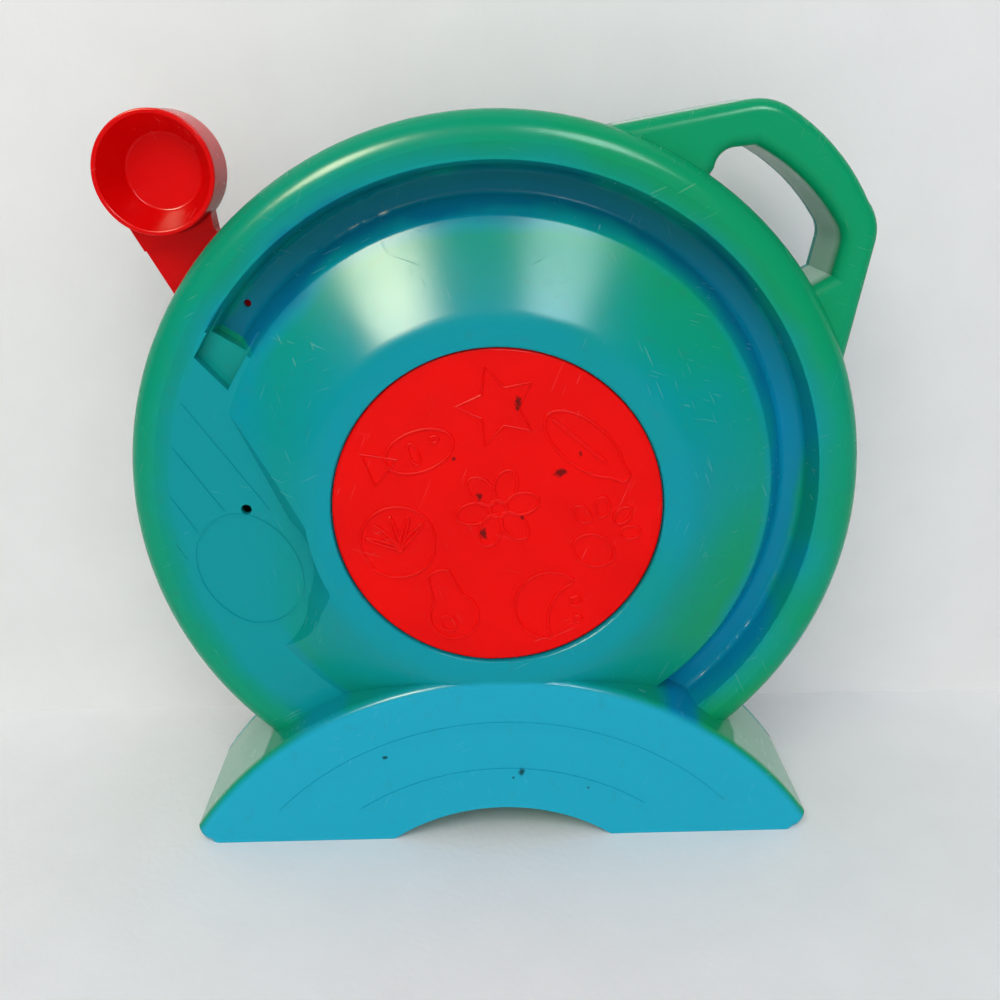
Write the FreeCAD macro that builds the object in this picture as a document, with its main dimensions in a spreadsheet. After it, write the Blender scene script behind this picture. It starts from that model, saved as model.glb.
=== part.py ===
"""Lever-wound animal sound spinner: a talking dial toy, built as separate moulded and turned pieces.

Every piece is drawn in the dial's own frame: across (X) to the right as seen from the rear, depth (Y)
counted from the rear face towards the picture dial, and up (Z) from the dial's axis. The finished part
stands on Z = 0 with its depth centred on Y = 0.
"""
import FreeCAD, Part
import math
import os
from types import SimpleNamespace

import Sketcher

Vector = FreeCAD.Vector

# Driving dimensions, in millimetres, degrees and counts
DRIVING = {
    # Round body
    "body_radius": 125.0,
    "floor_clearance": 1.7,
    "wall": 2.4,
    "seam_gap": 4.0,
    "front_rise": 5.0,
    "dial_rise": 7.0,
    "rim_crest_depth": 14.0,
    "rim_round": 9.5,
    "rim_slope": 4.2,
    "pad_depth": 15.4,
    "flat_radius": 63.6,
    "rim_band": 1.2,
    # Ring channel in the rear face
    "channel_depth": 27.0,
    "channel_wall_run": 6.0,
    "channel_floor_width": 8.0,
    "channel_outer_run": 2.4,
    "channel_first_angle": 148.0,
    "channel_last_angle": -62.0,
    "channel_round": 2.2,
    "channel_edge_round": 1.6,
    "dish_round": 14.0,
    "shelf_depth": 20.5,
    "shelf_outer_run": 9.3,
    "shelf_inner_run": 13.4,
    "shelf_step": 8.0,
    # Recess that carries the raised lines, beside the speaker
    "recess_draft": 28.0,
    "ridge_height": 0.35,
    "ridge_width": 1.0,
    "oval_length": 21.5,
    "oval_width": 17.5,
    "oval_line": 0.7,
    "vent_radius": 1.8,
    "oval_across": 86.5,
    "oval_drop": 25.0,
    "oval_turn": 118.0,
    "vent_across": 85.6,
    "vent_drop": 2.6,
    "channel_vent_run": 4.7,
    "channel_vent_angle": 141.1,
    "recess_top_depth": 0.4,
    "recess_middle_angle": 186.0,
    "recess_span": 72.0,
    "relief_middle_angle": 196.0,
    "relief_span": 74.0,
    # Speaker
    "lip_round": 0.7,
    "disc_radius": 54.4,
    "disc_gap": 0.4,
    "disc_recess": 1.3,
    "disc_thickness": 2.0,
    "seat_width": 4.0,
    "seat_thickness": 2.0,
    "cone_film": 0.8,
    "cone_bottom_radius": 28.0,
    "cone_bottom_depth": 13.2,
    # Base
    "base_roof_radius": 134.9,
    "base_height": 64.8,
    "base_face_depth": 0.5,
    "base_edge_round": 3.5,
    "base_corner_round": 6.0,
    "arch_half_width": 39.8,
    "arch_height": 12.5,
    "rib_height": 0.4,
    "rib_width": 1.4,
    "outer_rib_radius": 111.8,
    "outer_rib_height": 47.9,
    "inner_rib_radius": 91.7,
    "inner_rib_height": 29.0,
    # Handle
    "handle_depth": 22.0,
    "handle_round": 4.5,
    "handle_middle_angle": 46.0,
    "outline_body_radius": 125.0,
    # Housing screws
    "housing_boss_radius": 3.8,
    "housing_boss_inset": 9.5,
    "base_boss_across": 86.0,
    "base_boss_height": 16.7,
    "screw_radius": 1.5,
    "screw_gap": 0.05,
    "screw_head_radius": 3.0,
    "screw_head_height": 1.6,
    "screw_head_round": 0.6,
    "screw_slot_depth": 0.9,
    "screw_slot_width": 0.8,
    "housing_screw_length": 16.0,
    "lip_depth": 3.0,
    "lip_thickness": 2.0,
    "lip_gap": 0.3,
    "lip_break_half": 64.0,
    "lip_break_height": 23.7,
    "screw_sink_depth": 1.8,
    "front_edge_round": 1.8,
    # Dial
    "bezel_edge_round": 1.6,
    "bezel_foot_round": 1.0,
    "picture_radius": 99.0,
    "picture_thickness": 0.8,
    "bezel_inner_radius": 102.0,
    "bezel_width": 7.0,
    "bezel_height": 5.6,
    "hub_hole_radius": 9.0,
    "pointer_lift": 2.0,
    "pointer_thickness": 2.4,
    "pointer_length": 78.0,
    "pointer_boss_radius": 6.0,
    "pointer_cap_radius": 13.0,
    "pointer_cap_edge": 0.4,
    "pointer_cap_flat": 1.0,
    "pointer_head_length": 24.0,
    "pointer_head_half": 13.0,
    "pointer_shank_half": 6.5,
    "pointer_tail": 26.0,
    "pointer_round": 0.8,
    "bush_rim": 1.2,
    # Spindle and record
    "spindle_radius": 2.5,
    "running_gap": 0.05,
    "spindle_rear_reach": 7.0,
    "record_radius": 40.0,
    "record_rise": 4.8,
    "record_thickness": 1.4,
    "record_groove_count": 9,
    "turntable_radius": 42.0,
    "turntable_thickness": 2.8,
    "turntable_hub_radius": 8.0,
    "turntable_gear_teeth": 64,
    "fine_module": 1.0,
    "gear_gap": 5.0,
    "gear_thickness": 2.8,
    "press_gap": 0.02,
    "spindle_round": 0.8,
    "record_label_radius": 16.0,
    "record_groove": 0.3,
    "record_clip_radius": 5.0,
    "record_clip_thickness": 0.8,
    "turntable_web": 1.6,
    # Tonearm
    "post_head_thickness": 0.8,
    "tonearm_sleeve_length": 4.0,
    "tonearm_post_across": -40.0,
    "tonearm_post_up": -36.0,
    "tonearm_post_radius": 2.0,
    "tonearm_length": 38.0,
    "tonearm_angle": 2.0,
    "tonearm_rise": 9.8,
    "tonearm_thickness": 2.0,
    "stylus_radius": 1.1,
    # Mechanism chassis
    "rear_plate_gap": 0.2,
    "plate_thickness": 1.5,
    "plate_left": 80.0,
    "plate_right": 62.0,
    "plate_top": 60.0,
    "plate_bottom": 64.0,
    "plate_corner": 14.0,
    "chassis_grip": 10.0,
    "post_radius": 3.6,
    "bush_radius": 4.5,
    "bush_overhang": 0.5,
    "post_circle": 68.4,
    # Lever
    "coarse_module": 1.5,
    "sector_teeth": 64,
    "sector_gap_count": 13,
    "winding_teeth": 20,
    "lever_pivot_angle": 160.0,
    "lever_angle": 118.3,
    "lever_travel": 45.0,
    "lever_inset": 27.4,
    "lever_gap": 0.3,
    "lever_thickness": 6.4,
    "lever_hub_radius": 12.0,
    "lever_pin_radius": 3.0,
    "lever_step": 1.6,
    "arm_right": 4.6,
    "arm_waist_start": 18.0,
    "arm_waist_inset": 39.6,
    "arm_neck_inset": 23.1,
    "arm_step_slant": 5.0,
    "knob_round": 1.0,
    "slot_start": 50.0,
    "slot_overrun": 2.4,
    "slot_clearance": 0.8,
    "knob_radius": 19.2,
    "knob_rise": 11.0,
    "knob_seam_gap": 0.4,
    "knob_length": 19.0,
    "knob_wall": 1.5,
    "knob_floor_radius": 12.3,
    "knob_cup_depth": 13.0,
    # Gear train
    "sector_thickness": 3.0,
    "backlash": 0.55,
    "ratchet_radius": 11.0,
    "ratchet_teeth": 12,
    "ratchet_gap": 0.6,
    "ratchet_thickness": 2.3,
    "ratchet_tooth_height": 1.8,
    "ratchet_tooth_run": 4.6,
    "pawl_width": 4.0,
    "pawl_length": 5.0,
    "pinion_overlap": 0.3,
    "barrel_floor": 1.4,
    "weight_thickness": 4.0,
    "weight_width": 3.6,
    "governor_hub_radius": 3.0,
    "pawl_plate_radius": 16.4,
    "sleeve_radius": 7.0,
    "barrel_radius": 26.0,
    "barrel_gap": 4.2,
    "barrel_length": 6.0,
    "spring_strip": 0.6,
    "spring_half_turns": 14,
    "idler_angle": -35.0,
    "idler_pinion_teeth": 12,
    "idler_gear_teeth": 48,
    "governor_module": 0.8,
    "governor_pinion_teeth": 10,
    "governor_angle": -100.0,
    "idler_shaft_radius": 1.2,
    "governor_shaft_radius": 1.0,
    "governor_drum_radius": 14.5,
    "governor_drum_gap": 0.2,
    "idler_gear_gap": 1.5,
    "idler_gear_thickness": 2.4,
}

# Outlines drawn by hand, as (across, up) corners from the dial's axis. A third number is the radius of
# the arc that leads to the next corner, positive where it turns left.
OUTLINES = {
    "handle_outer": [
        (117.0, 38.5), (125.0, 82.5, 16.0), (121.5, 95.0, 75.0), (94.0, 124.0, 20.0), (80.0, 126.3),
        (33.0, 118.5), (81.5, 81.5),
    ],
    "handle_hole": [
        (104.0, 67.5), (111.5, 71.5), (113.3, 80.5, 9.0), (111.6, 88.5, 70.0), (84.0, 112.8), (77.0, 112.2, 7.0),
        (71.0, 106.0), (69.0, 103.0),
    ],
    "ridge_long": [(-103.9, 34.6), (-78.1, -3.0)],
    "ridge_middle": [(-108.7, 19.6), (-93.4, -3.4)],
    "ridge_short": [(-111.4, 2.4), (-103.6, -10.5)],
    "ridge_stub": [(-111.4, -14.8), (-108.0, -21.0)],
    "recess_foot": [
        (-89.0, 33.0), (-92.0, 42.0), (-103.0, -10.0), (-84.0, -60.0), (-76.5, -54.5, 24.0), (-67.0, -36.0, 26.0),
        (-71.0, -7.0),
    ],
}

POINT_NAMES = "abcdefghijklmnop"
KEPT = []
for outline, corners in OUTLINES.items():
    for letter, corner in zip(POINT_NAMES, corners):
        for part, number in zip(("across", "up", "arc"), corner):
            DRIVING["%s_%s_%s" % (outline, letter, part)] = number

DOC = FreeCAD.newDocument("SoundSpinner")
SHEET = DOC.addObject("Spreadsheet::Sheet", "Sizes")
for row, (alias, number) in enumerate(DRIVING.items(), start=1):
    SHEET.set("A%d" % row, alias.replace("_", " "))
    SHEET.set("B%d" % row, str(number))
    SHEET.setAlias("B%d" % row, alias)
DOC.recompute()


class Size:
    """A number with the sheet formula that gives it, so that one sum serves both."""

    def __init__(self, value, text):
        self.value = float(value)
        self.text = text

    def __add__(self, other):
        other = as_size(other)
        return Size(self.value + other.value, "(%s + %s)" % (self.text, other.text))

    def __radd__(self, other):
        return as_size(other) + self

    def __sub__(self, other):
        other = as_size(other)
        return Size(self.value - other.value, "(%s - %s)" % (self.text, other.text))

    def __rsub__(self, other):
        return as_size(other) - self

    def __mul__(self, other):
        other = as_size(other)
        return Size(self.value * other.value, "(%s * %s)" % (self.text, other.text))

    def __rmul__(self, other):
        return as_size(other) * self

    def __truediv__(self, other):
        other = as_size(other)
        return Size(self.value / other.value, "(%s / %s)" % (self.text, other.text))

    def __rtruediv__(self, other):
        return as_size(other) / self

    def __neg__(self):
        return Size(-self.value, "(0 - %s)" % self.text)


def as_size(number):
    """A plain number as a Size."""
    if isinstance(number, Size):
        return number
    return Size(number, "(%s)" % repr(float(number)))


def cosine(angle):
    """Cosine of an angle in degrees."""
    return Size(math.cos(math.radians(angle.value)), "cos(%s)" % angle.text)


def sine(angle):
    """Sine of an angle in degrees."""
    return Size(math.sin(math.radians(angle.value)), "sin(%s)" % angle.text)


def tangent(angle):
    """Tangent of an angle in degrees."""
    return Size(math.tan(math.radians(angle.value)), "tan(%s)" % angle.text)


def square_root(number):
    """Square root of a Size."""
    return Size(math.sqrt(number.value), "sqrt(%s)" % number.text)


def remainder(number, step):
    """What is left of a positive Size after whole steps."""
    return Size(math.fmod(number.value, step.value), "mod(%s; %s)" % (number.text, step.text))


def polar(radius, angle):
    """Across and up of a point at a radius and an angle from the dial's axis."""
    radius = as_size(radius)
    angle = as_size(angle)
    return radius * cosine(angle), radius * sine(angle)


d = SimpleNamespace(**{alias: Size(number, "Sizes." + alias) for alias, number in DRIVING.items()})

# Places across the body, worked out from its rim and from the floor
d.axis_height = d.body_radius + d.floor_clearance
crest_radius = d.body_radius - d.rim_round
channel_radius = crest_radius - d.rim_slope - d.rim_band
channel_outer_floor = channel_radius - d.channel_outer_run
channel_inner_floor = channel_outer_floor - d.channel_floor_width
d.cone_radius = channel_inner_floor - d.channel_wall_run
d.base_roof_apex = d.axis_height - d.base_height
d.outer_rib_apex = d.axis_height - d.outer_rib_height
d.inner_rib_apex = d.axis_height - d.inner_rib_height
d.base_boss_drop = d.axis_height - d.base_boss_height
d.lip_break_drop = d.axis_height - d.lip_break_height
d.housing_boss_circle = d.body_radius - d.housing_boss_inset
d.lever_length = d.body_radius - d.lever_inset
d.arm_waist = d.lever_length - d.arm_waist_inset
d.arm_neck = d.lever_length - d.arm_neck_inset
d.slot_reach = d.lever_length + d.slot_overrun

# Places from rear to front, stacked up from the channel's floor
d.rear_plate_depth = d.channel_depth + d.wall + d.rear_plate_gap
rear_plate_front = d.rear_plate_depth + d.plate_thickness
d.gear_depth = d.rear_plate_depth - d.gear_gap
d.record_depth = d.gear_depth - d.record_rise
d.spindle_rear_depth = d.gear_depth - d.spindle_rear_reach
d.tonearm_depth = d.gear_depth - d.tonearm_rise
d.lever_depth = rear_plate_front + d.lever_gap
lever_front = d.lever_depth + d.lever_thickness
d.knob_seam_depth = d.lever_depth - d.knob_seam_gap
d.knob_depth = d.knob_seam_depth - d.knob_rise
d.ratchet_depth = rear_plate_front + d.ratchet_gap
d.idler_gear_depth = rear_plate_front + d.idler_gear_gap
d.governor_drum_depth = lever_front + d.governor_drum_gap
d.barrel_depth = lever_front + d.barrel_gap
d.front_plate_depth = d.barrel_depth + d.barrel_length
d.seam_depth = d.front_plate_depth + d.seam_gap
d.front_face_depth = d.seam_depth + d.front_rise
d.body_depth = d.front_face_depth + d.dial_rise
ZERO = as_size(0)
FULL_TURN = 360.0
PIECES = {}


def kept(alias, size):
    """Write a worked-out size to the sheet under a name of its own, and go on with that name."""
    if alias not in KEPT:
        KEPT.append(alias)
        line = len(DRIVING) + len(KEPT)
        SHEET.set("A%d" % line, alias.replace("_", " "))
        SHEET.set("B%d" % line, "=" + size.text.replace("Sizes.", ""))
        SHEET.setAlias("B%d" % line, alias)
    return Size(size.value, "Sizes." + alias)


def beside_handle(across, up):
    """A place drawn on the handle. The handle moves out and in with the rim that carries it."""
    move = d.body_radius - d.outline_body_radius
    return across + move * cosine(d.handle_middle_angle), up + move * sine(d.handle_middle_angle)


def on_panel(across, up):
    """A place drawn on the sunken panel. The panel widens and narrows between the speaker and the rim."""
    drawn = square_root(across * across + up * up)
    growth = (d.body_radius - d.disc_radius) / (d.outline_body_radius - d.disc_radius)
    share = (d.disc_radius + (drawn - d.disc_radius) * growth) / drawn
    return across * share, up * share


def hand_outline(name):
    """Corners of a hand-drawn outline, as Sizes from the sheet, at their places on this body."""
    place = beside_handle if name.startswith("handle") else on_panel
    corners = []
    for letter, corner in zip(POINT_NAMES, OUTLINES[name]):
        parts = ("across", "up", "arc")[:len(corner)]
        sizes = [getattr(d, "%s_%s_%s" % (name, letter, part)) for part in parts]
        across, up = place(sizes[0], sizes[1])
        marks = tuple("%s_%s_%s" % (name, letter, part) for part in ("x", "y"))
        corners.append((kept(marks[0], across), kept(marks[1], up), *sizes[2:]))
    return corners


def bind(item, path, size):
    """Tie one property to its formula."""
    item.setExpression(path, size.text)


def new_body(label, across=ZERO, up=ZERO, turn=ZERO):
    """A body in the dial's frame, moved across and up, and turned anticlockwise as seen from the rear."""
    body = DOC.addObject("PartDesign::Body", label)
    body.Label = label
    rear = ZERO - d.body_depth / 2
    height = d.axis_height + up
    spin = FreeCAD.Rotation(Vector(0, -1, 0), turn.value)
    body.Placement = FreeCAD.Placement(Vector(across.value, rear.value, height.value), spin)
    bind(body, "Placement.Base.x", across)
    bind(body, "Placement.Base.y", rear)
    bind(body, "Placement.Base.z", height)
    if turn is not ZERO:
        bind(body, "Placement.Rotation.Angle", turn)
    PIECES[label] = body
    return body


def origin_part(body, role):
    """An origin plane or axis of a body."""
    for part in body.Origin.OriginFeatures:
        if part.Role == role:
            return part
    raise ValueError("no origin part " + role)


def face_sketch(body, name, depth, across=ZERO, up=ZERO, turn=ZERO):
    """A sketch across the dial's axis at a depth, looking from the rear."""
    sketch = body.newObject("Sketcher::SketchObject", name)
    sketch.AttachmentSupport = [(origin_part(body, "XZ_Plane"), "")]
    sketch.MapMode = "FlatFace"
    away = ZERO - depth
    base = Vector(across.value, up.value, away.value)
    sketch.AttachmentOffset = FreeCAD.Placement(base, FreeCAD.Rotation(Vector(0, 0, 1), turn.value))
    bind(sketch, "AttachmentOffset.Base.x", across)
    bind(sketch, "AttachmentOffset.Base.y", up)
    bind(sketch, "AttachmentOffset.Base.z", away)
    if turn is not ZERO:
        bind(sketch, "AttachmentOffset.Rotation.Angle", turn)
    return sketch


def section_sketch(body, name, turn=ZERO):
    """A sketch of radius against depth, turned about the body's axis."""
    sketch = body.newObject("Sketcher::SketchObject", name)
    sketch.AttachmentSupport = [(origin_part(body, "XY_Plane"), "")]
    sketch.MapMode = "FlatFace"
    sketch.AttachmentOffset = FreeCAD.Placement(Vector(), FreeCAD.Rotation(Vector(0, -1, 0), turn.value))
    if turn is not ZERO:
        bind(sketch, "AttachmentOffset.Rotation.Angle", turn)
    return sketch


def hold_point(sketch, item, end, across, up):
    """Fix a point of a sketch by its two distances from the sketch's origin."""
    for kind, size in (("DistanceX", across), ("DistanceY", up)):
        index = sketch.addConstraint(Sketcher.Constraint(kind, -1, 1, item, end, size.value))
        sketch.setExpression("Constraints[%d]" % index, size.text)


def arc_through(start, end, radius):
    """A minor arc between two points. A positive radius turns left, a negative one right."""
    chord = end - start
    left = Vector(-chord.y, chord.x, 0).normalize()
    size = abs(radius)
    reach = math.sqrt(max(size * size - chord.Length ** 2 / 4, 0.0))
    centre = start + chord * 0.5 + left * math.copysign(reach, radius)
    first, last = (start, end) if radius > 0 else (end, start)
    angles = [math.atan2(point.y - centre.y, point.x - centre.x) for point in (first, last)]
    return Part.ArcOfCircle(Part.Circle(centre, Vector(0, 0, 1), size), angles[0], angles[1])


def draw(sketch, corners):
    """Closed outline. A corner is (across, up), or (across, up, radius) where an arc leads on to the next."""
    points = [tuple(as_size(number) for number in corner) for corner in corners]
    ends = []
    for index, corner in enumerate(points):
        following = points[(index + 1) % len(points)]
        start = Vector(corner[0].value, corner[1].value, 0)
        end = Vector(following[0].value, following[1].value, 0)
        if len(corner) == 2:
            item = sketch.addGeometry(Part.LineSegment(start, end), False)
            ends.append((item, 1, 2))
            continue
        item = sketch.addGeometry(arc_through(start, end, corner[2].value), False)
        turns_left = corner[2].value > 0
        ends.append((item, 1, 2) if turns_left else (item, 2, 1))
        radius = corner[2] if turns_left else ZERO - corner[2]
        mark = sketch.addConstraint(Sketcher.Constraint("Radius", item, radius.value))
        sketch.setExpression("Constraints[%d]" % mark, radius.text)
    for index, corner in enumerate(points):
        item, first, _ = ends[index]
        before, _, last = ends[index - 1]
        sketch.addConstraint(Sketcher.Constraint("Coincident", before, last, item, first))
        hold_point(sketch, item, first, corner[0], corner[1])


def draw_circle(sketch, radius, across=ZERO, up=ZERO):
    """Circle by its centre and radius."""
    across = as_size(across)
    up = as_size(up)
    centre = Vector(across.value, up.value, 0)
    item = sketch.addGeometry(Part.Circle(centre, Vector(0, 0, 1), radius.value), False)
    mark = sketch.addConstraint(Sketcher.Constraint("Radius", item, radius.value))
    sketch.setExpression("Constraints[%d]" % mark, radius.text)
    hold_point(sketch, item, 3, across, up)


def pad(body, sketch, name, length):
    """Add material from the sketch towards the dial."""
    feature = body.newObject("PartDesign::Pad", name)
    feature.Profile = sketch
    feature.Reversed = True
    feature.Length = length.value
    feature.Refine = False
    bind(feature, "Length", length)
    return feature


def pocket(body, sketch, name, length):
    """Take material away from the sketch towards the dial."""
    feature = body.newObject("PartDesign::Pocket", name)
    feature.Profile = sketch
    feature.Length = length.value
    feature.Refine = False
    bind(feature, "Length", length)
    return feature


def turned(body, sketch, name, kind="PartDesign::Revolution", angle=None):
    """Turn a section about the body's axis, all round or evenly to both sides of its own plane."""
    feature = body.newObject(kind, name)
    feature.Profile = sketch
    feature.ReferenceAxis = (sketch, ["V_Axis"])
    feature.Angle = FULL_TURN if angle is None else angle.value
    if angle is not None:
        feature.Midplane = True
        bind(feature, "Angle", angle)
    feature.Refine = False
    return feature


def polar_pattern(body, feature, name, count, angle=None):
    """Repeat a feature about the body's own axis."""
    pattern = body.newObject("PartDesign::PolarPattern", name)
    pattern.Originals = [feature]
    pattern.Axis = (origin_part(body, "Y_Axis"), [""])
    pattern.Angle = FULL_TURN if angle is None else angle.value
    if angle is not None:
        bind(pattern, "Angle", angle)
    pattern.Occurrences = int(count.value)
    bind(pattern, "Occurrences", count)
    body.Tip = pattern
    return pattern


def lathe(label, corners, **place):
    """A turned piece from its section of radius against depth."""
    body = new_body(label, **place)
    outline = section_sketch(body, label + "_section")
    draw(outline, corners)
    turned(body, outline, label + "_turned")
    return body


def ring(label, inner, outer, near, far, **place):
    """A plain ring or disc between two depths."""
    return lathe(label, [(inner, near), (outer, near), (outer, far), (inner, far)], **place)


def tooth_half(module, teeth, radius):
    """Half a tooth's width at a radius, for straight flanks of 20 degrees."""
    pitch_radius = module * teeth / 2
    at_pitch = module * (math.pi / 4) - d.backlash * module / 3
    return at_pitch * radius / pitch_radius - (radius - pitch_radius) * math.tan(math.radians(20.0))


def gear_radii(module, teeth):
    """Tip and root radius of a gear."""
    return module * (teeth / 2 + 0.85), module * (teeth / 2 - 1.15)


def tooth_gap(module, teeth):
    """Outline of the gap between two teeth, pointing across from the gear's axis."""
    tip, root = gear_radii(module, teeth)
    beyond = tip + module * 0.3
    half_pitch = math.pi / teeth
    at_tip = beyond * half_pitch - tooth_half(module, teeth, beyond)
    at_root = root * half_pitch - tooth_half(module, teeth, root)
    return [(root, ZERO - at_root), (beyond, ZERO - at_tip), (beyond, at_tip), (root, at_root)]


def gear(label, module, teeth, bore, near, far, **place):
    """A spur gear with its first gap on its own X axis."""
    tip, _ = gear_radii(module, teeth)
    body = ring(label, bore, tip, near, far, **place)
    gap = face_sketch(body, label + "_gap", near - 1)
    draw(gap, tooth_gap(module, teeth))
    cut = pocket(body, gap, label + "_gap_cut", far - near + 2)
    polar_pattern(body, cut, label + "_teeth", teeth)
    return body


def mesh_turn(direction, teeth, tooth_faces):
    """Turn that points a gear's gap, or a tooth, along a direction."""
    step = FULL_TURN / teeth
    offset = step / 2 if tooth_faces else ZERO
    return remainder(direction + offset + 2 * FULL_TURN, step)


def group(label, bodies):
    """Like pieces as one named group of separate solids."""
    compound = DOC.addObject("Part::Compound", label)
    compound.Label = label
    compound.Links = bodies
    for body in bodies:
        del PIECES[body.Label]
    PIECES[label] = compound
    return compound


def pushed(corners, distance):
    """The same outline with each corner moved outwards, square to the line between its neighbours."""
    moved = []
    for index, corner in enumerate(corners):
        before = corners[index - 1]
        after = corners[(index + 1) % len(corners)]
        run = after[0] - before[0]
        rise = after[1] - before[1]
        share = distance / square_root(run * run + rise * rise)
        place = (corner[0] + rise * share, corner[1] - run * share)
        moved.append(place + tuple(arc + distance for arc in corner[2:]))
    return moved


def leaned(corners, distance):
    """The sunken panel's outline with its inner side moved outwards and its rim side where it was."""
    moved = pushed(corners, distance)
    return [corners[index] if index in (1, 2, 3) else corner for index, corner in enumerate(moved)]


def along(start, end, share):
    """Point between two places."""
    return start + (end - start) * share


# Places and sizes that several pieces share
cone_slope = d.pad_depth / (d.cone_radius - d.flat_radius)
wall_radius = d.body_radius - d.wall
plate_under = d.front_face_depth - d.wall
disc_seat_depth = d.disc_recess + d.disc_thickness
disc_hole_radius = d.disc_radius + d.disc_gap
seat_radius = disc_hole_radius - d.seat_width
seat_front = disc_seat_depth + d.seat_thickness
front_plate_front = d.front_plate_depth + d.plate_thickness
bore_radius = d.spindle_radius + d.running_gap
pilot_radius = d.screw_radius + d.screw_gap
clear_radius = d.screw_radius + d.screw_gap * 4
pivot_across, pivot_up = polar(d.coarse_module * (d.sector_teeth + d.winding_teeth) / 2, d.lever_pivot_angle)
idler_across, idler_up = polar(
    d.fine_module * (d.turntable_gear_teeth + d.idler_pinion_teeth) / 2, d.idler_angle)
governor_run, governor_rise = polar(
    d.governor_module * (d.idler_gear_teeth + d.governor_pinion_teeth) / 2, d.governor_angle)
governor_across = idler_across + governor_run
governor_up = idler_up + governor_rise
picture_front = d.front_face_depth + d.picture_thickness
pointer_rear = picture_front + d.pointer_lift
pointer_front = pointer_rear + d.pointer_thickness
floor_drop = ZERO - d.axis_height
housing_boss_angles = (115.0, 65.0, 15.0, -35.0, 215.0)
housing_bosses = [polar(d.housing_boss_circle, angle) for angle in housing_boss_angles]
housing_bosses += [(side * d.base_boss_across, ZERO - d.base_boss_drop) for side in (-1, 1)]
chassis_posts = [polar(d.post_circle, angle) for angle in (126.5, 38.0, -38.0, 224.0)]


def base_outline(inset):
    """Arched foot of the body, with its wall taken off where an inset is given."""
    roof = d.base_roof_radius - inset
    ground = floor_drop + inset
    shoulder = ground + d.base_corner_round
    reach = shoulder + d.base_roof_apex + d.base_roof_radius
    side = square_root(roof * roof - reach * reach)
    toe = side - d.base_corner_round * 0.7
    left_side = ZERO - side
    left_toe = ZERO - toe
    return [(toe, ground, d.base_corner_round), (side, shoulder, roof), (left_side, shoulder, d.base_corner_round),
            (left_toe, ground)]


def arch_outline(offset):
    """Low arch under the base, grown by an offset."""
    half = d.arch_half_width + offset
    rise = d.arch_height + offset
    radius = (half * half + rise * rise) / (rise * 2)
    return [(ZERO - half, floor_drop), (half, floor_drop, radius)]


def rib_outline(radius, apex):
    """Crescent of a raised rib that follows the base's roof."""
    drop = floor_drop + d.base_corner_round * 2.2
    inner = radius - d.rib_width
    reach = drop + apex + radius
    half = square_root(radius * radius - reach * reach)
    inner_half = square_root(inner * inner - reach * reach)
    inner_arc = ZERO - inner
    return [(half, drop, radius), (ZERO - half, drop), (ZERO - inner_half, drop, inner_arc), (inner_half, drop)]


def edges_of(feature, wanted):
    """Names of a feature's edges that pass a test."""
    DOC.recompute()
    names = []
    for index, edge in enumerate(feature.Shape.Edges, start=1):
        if wanted(edge):
            names.append("Edge%d" % index)
    return names


def round_edges(body, feature, name, radius, wanted):
    """Fillet the edges of a body that pass a test."""
    names = edges_of(feature, wanted)
    if not names:
        raise ValueError("no edge to round for " + name)
    fillet = body.newObject("PartDesign::Fillet", name)
    fillet.Base = (feature, names)
    fillet.Radius = radius.value
    bind(fillet, "Radius", radius)
    return fillet


def lies_at(edge, depth, tolerance=0.01):
    """Whether an edge lies wholly at one depth."""
    box = edge.BoundBox
    return abs(box.YMin - depth.value) < tolerance and abs(box.YMax - depth.value) < tolerance


def ring_edge(edge, radius, depth):
    """Whether an edge is a circle about the dial's axis, of a given radius and depth."""
    if not lies_at(edge, depth) or not isinstance(edge.Curve, Part.Circle):
        return False
    centre = edge.Curve.Center
    return abs(edge.Curve.Radius - radius.value) < 0.01 and math.hypot(centre.x, centre.z) < 0.01


def rounded(corners, radii):
    """The same outline with some straight corners rounded. Radii are keyed by the corner's index."""
    result = []
    for index, corner in enumerate(corners):
        if index not in radii:
            result.append(corner)
            continue
        before = corners[index - 1]
        after = corners[(index + 1) % len(corners)]
        back = (before[0] - corner[0], before[1] - corner[1])
        ahead = (after[0] - corner[0], after[1] - corner[1])
        back_length = square_root(back[0] * back[0] + back[1] * back[1])
        ahead_length = square_root(ahead[0] * ahead[0] + ahead[1] * ahead[1])
        slant = (back[0] * ahead[0] + back[1] * ahead[1]) / (back_length * ahead_length)
        reach = as_size(radii[index]) * square_root((1 + slant) / (1 - slant))
        turns_left = back[1].value * ahead[0].value - back[0].value * ahead[1].value > 0
        radius = as_size(radii[index]) if turns_left else ZERO - radii[index]
        share = reach / back_length
        result.append((corner[0] + back[0] * share, corner[1] + back[1] * share, radius))
        share = reach / ahead_length
        result.append((corner[0] + ahead[0] * share, corner[1] + ahead[1] * share))
    return result


def dish_outside():
    """Rear face of the round body from its middle to its rim, with the ring channel."""
    corners = [
        (ZERO, ZERO), (d.flat_radius, ZERO), (d.cone_radius, d.pad_depth), (channel_inner_floor, d.channel_depth),
        (channel_outer_floor, d.channel_depth), (channel_radius, d.pad_depth),
        (crest_radius - d.rim_slope, d.pad_depth), (crest_radius, d.rim_crest_depth, d.rim_round),
        (d.body_radius, d.rim_crest_depth + d.rim_round), (d.body_radius, d.seam_depth), (ZERO, d.seam_depth),
    ]
    return rounded(corners, {1: d.dish_round, 2: d.channel_edge_round, 3: d.channel_round, 4: d.channel_round,
                             5: d.channel_edge_round / 4})


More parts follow.
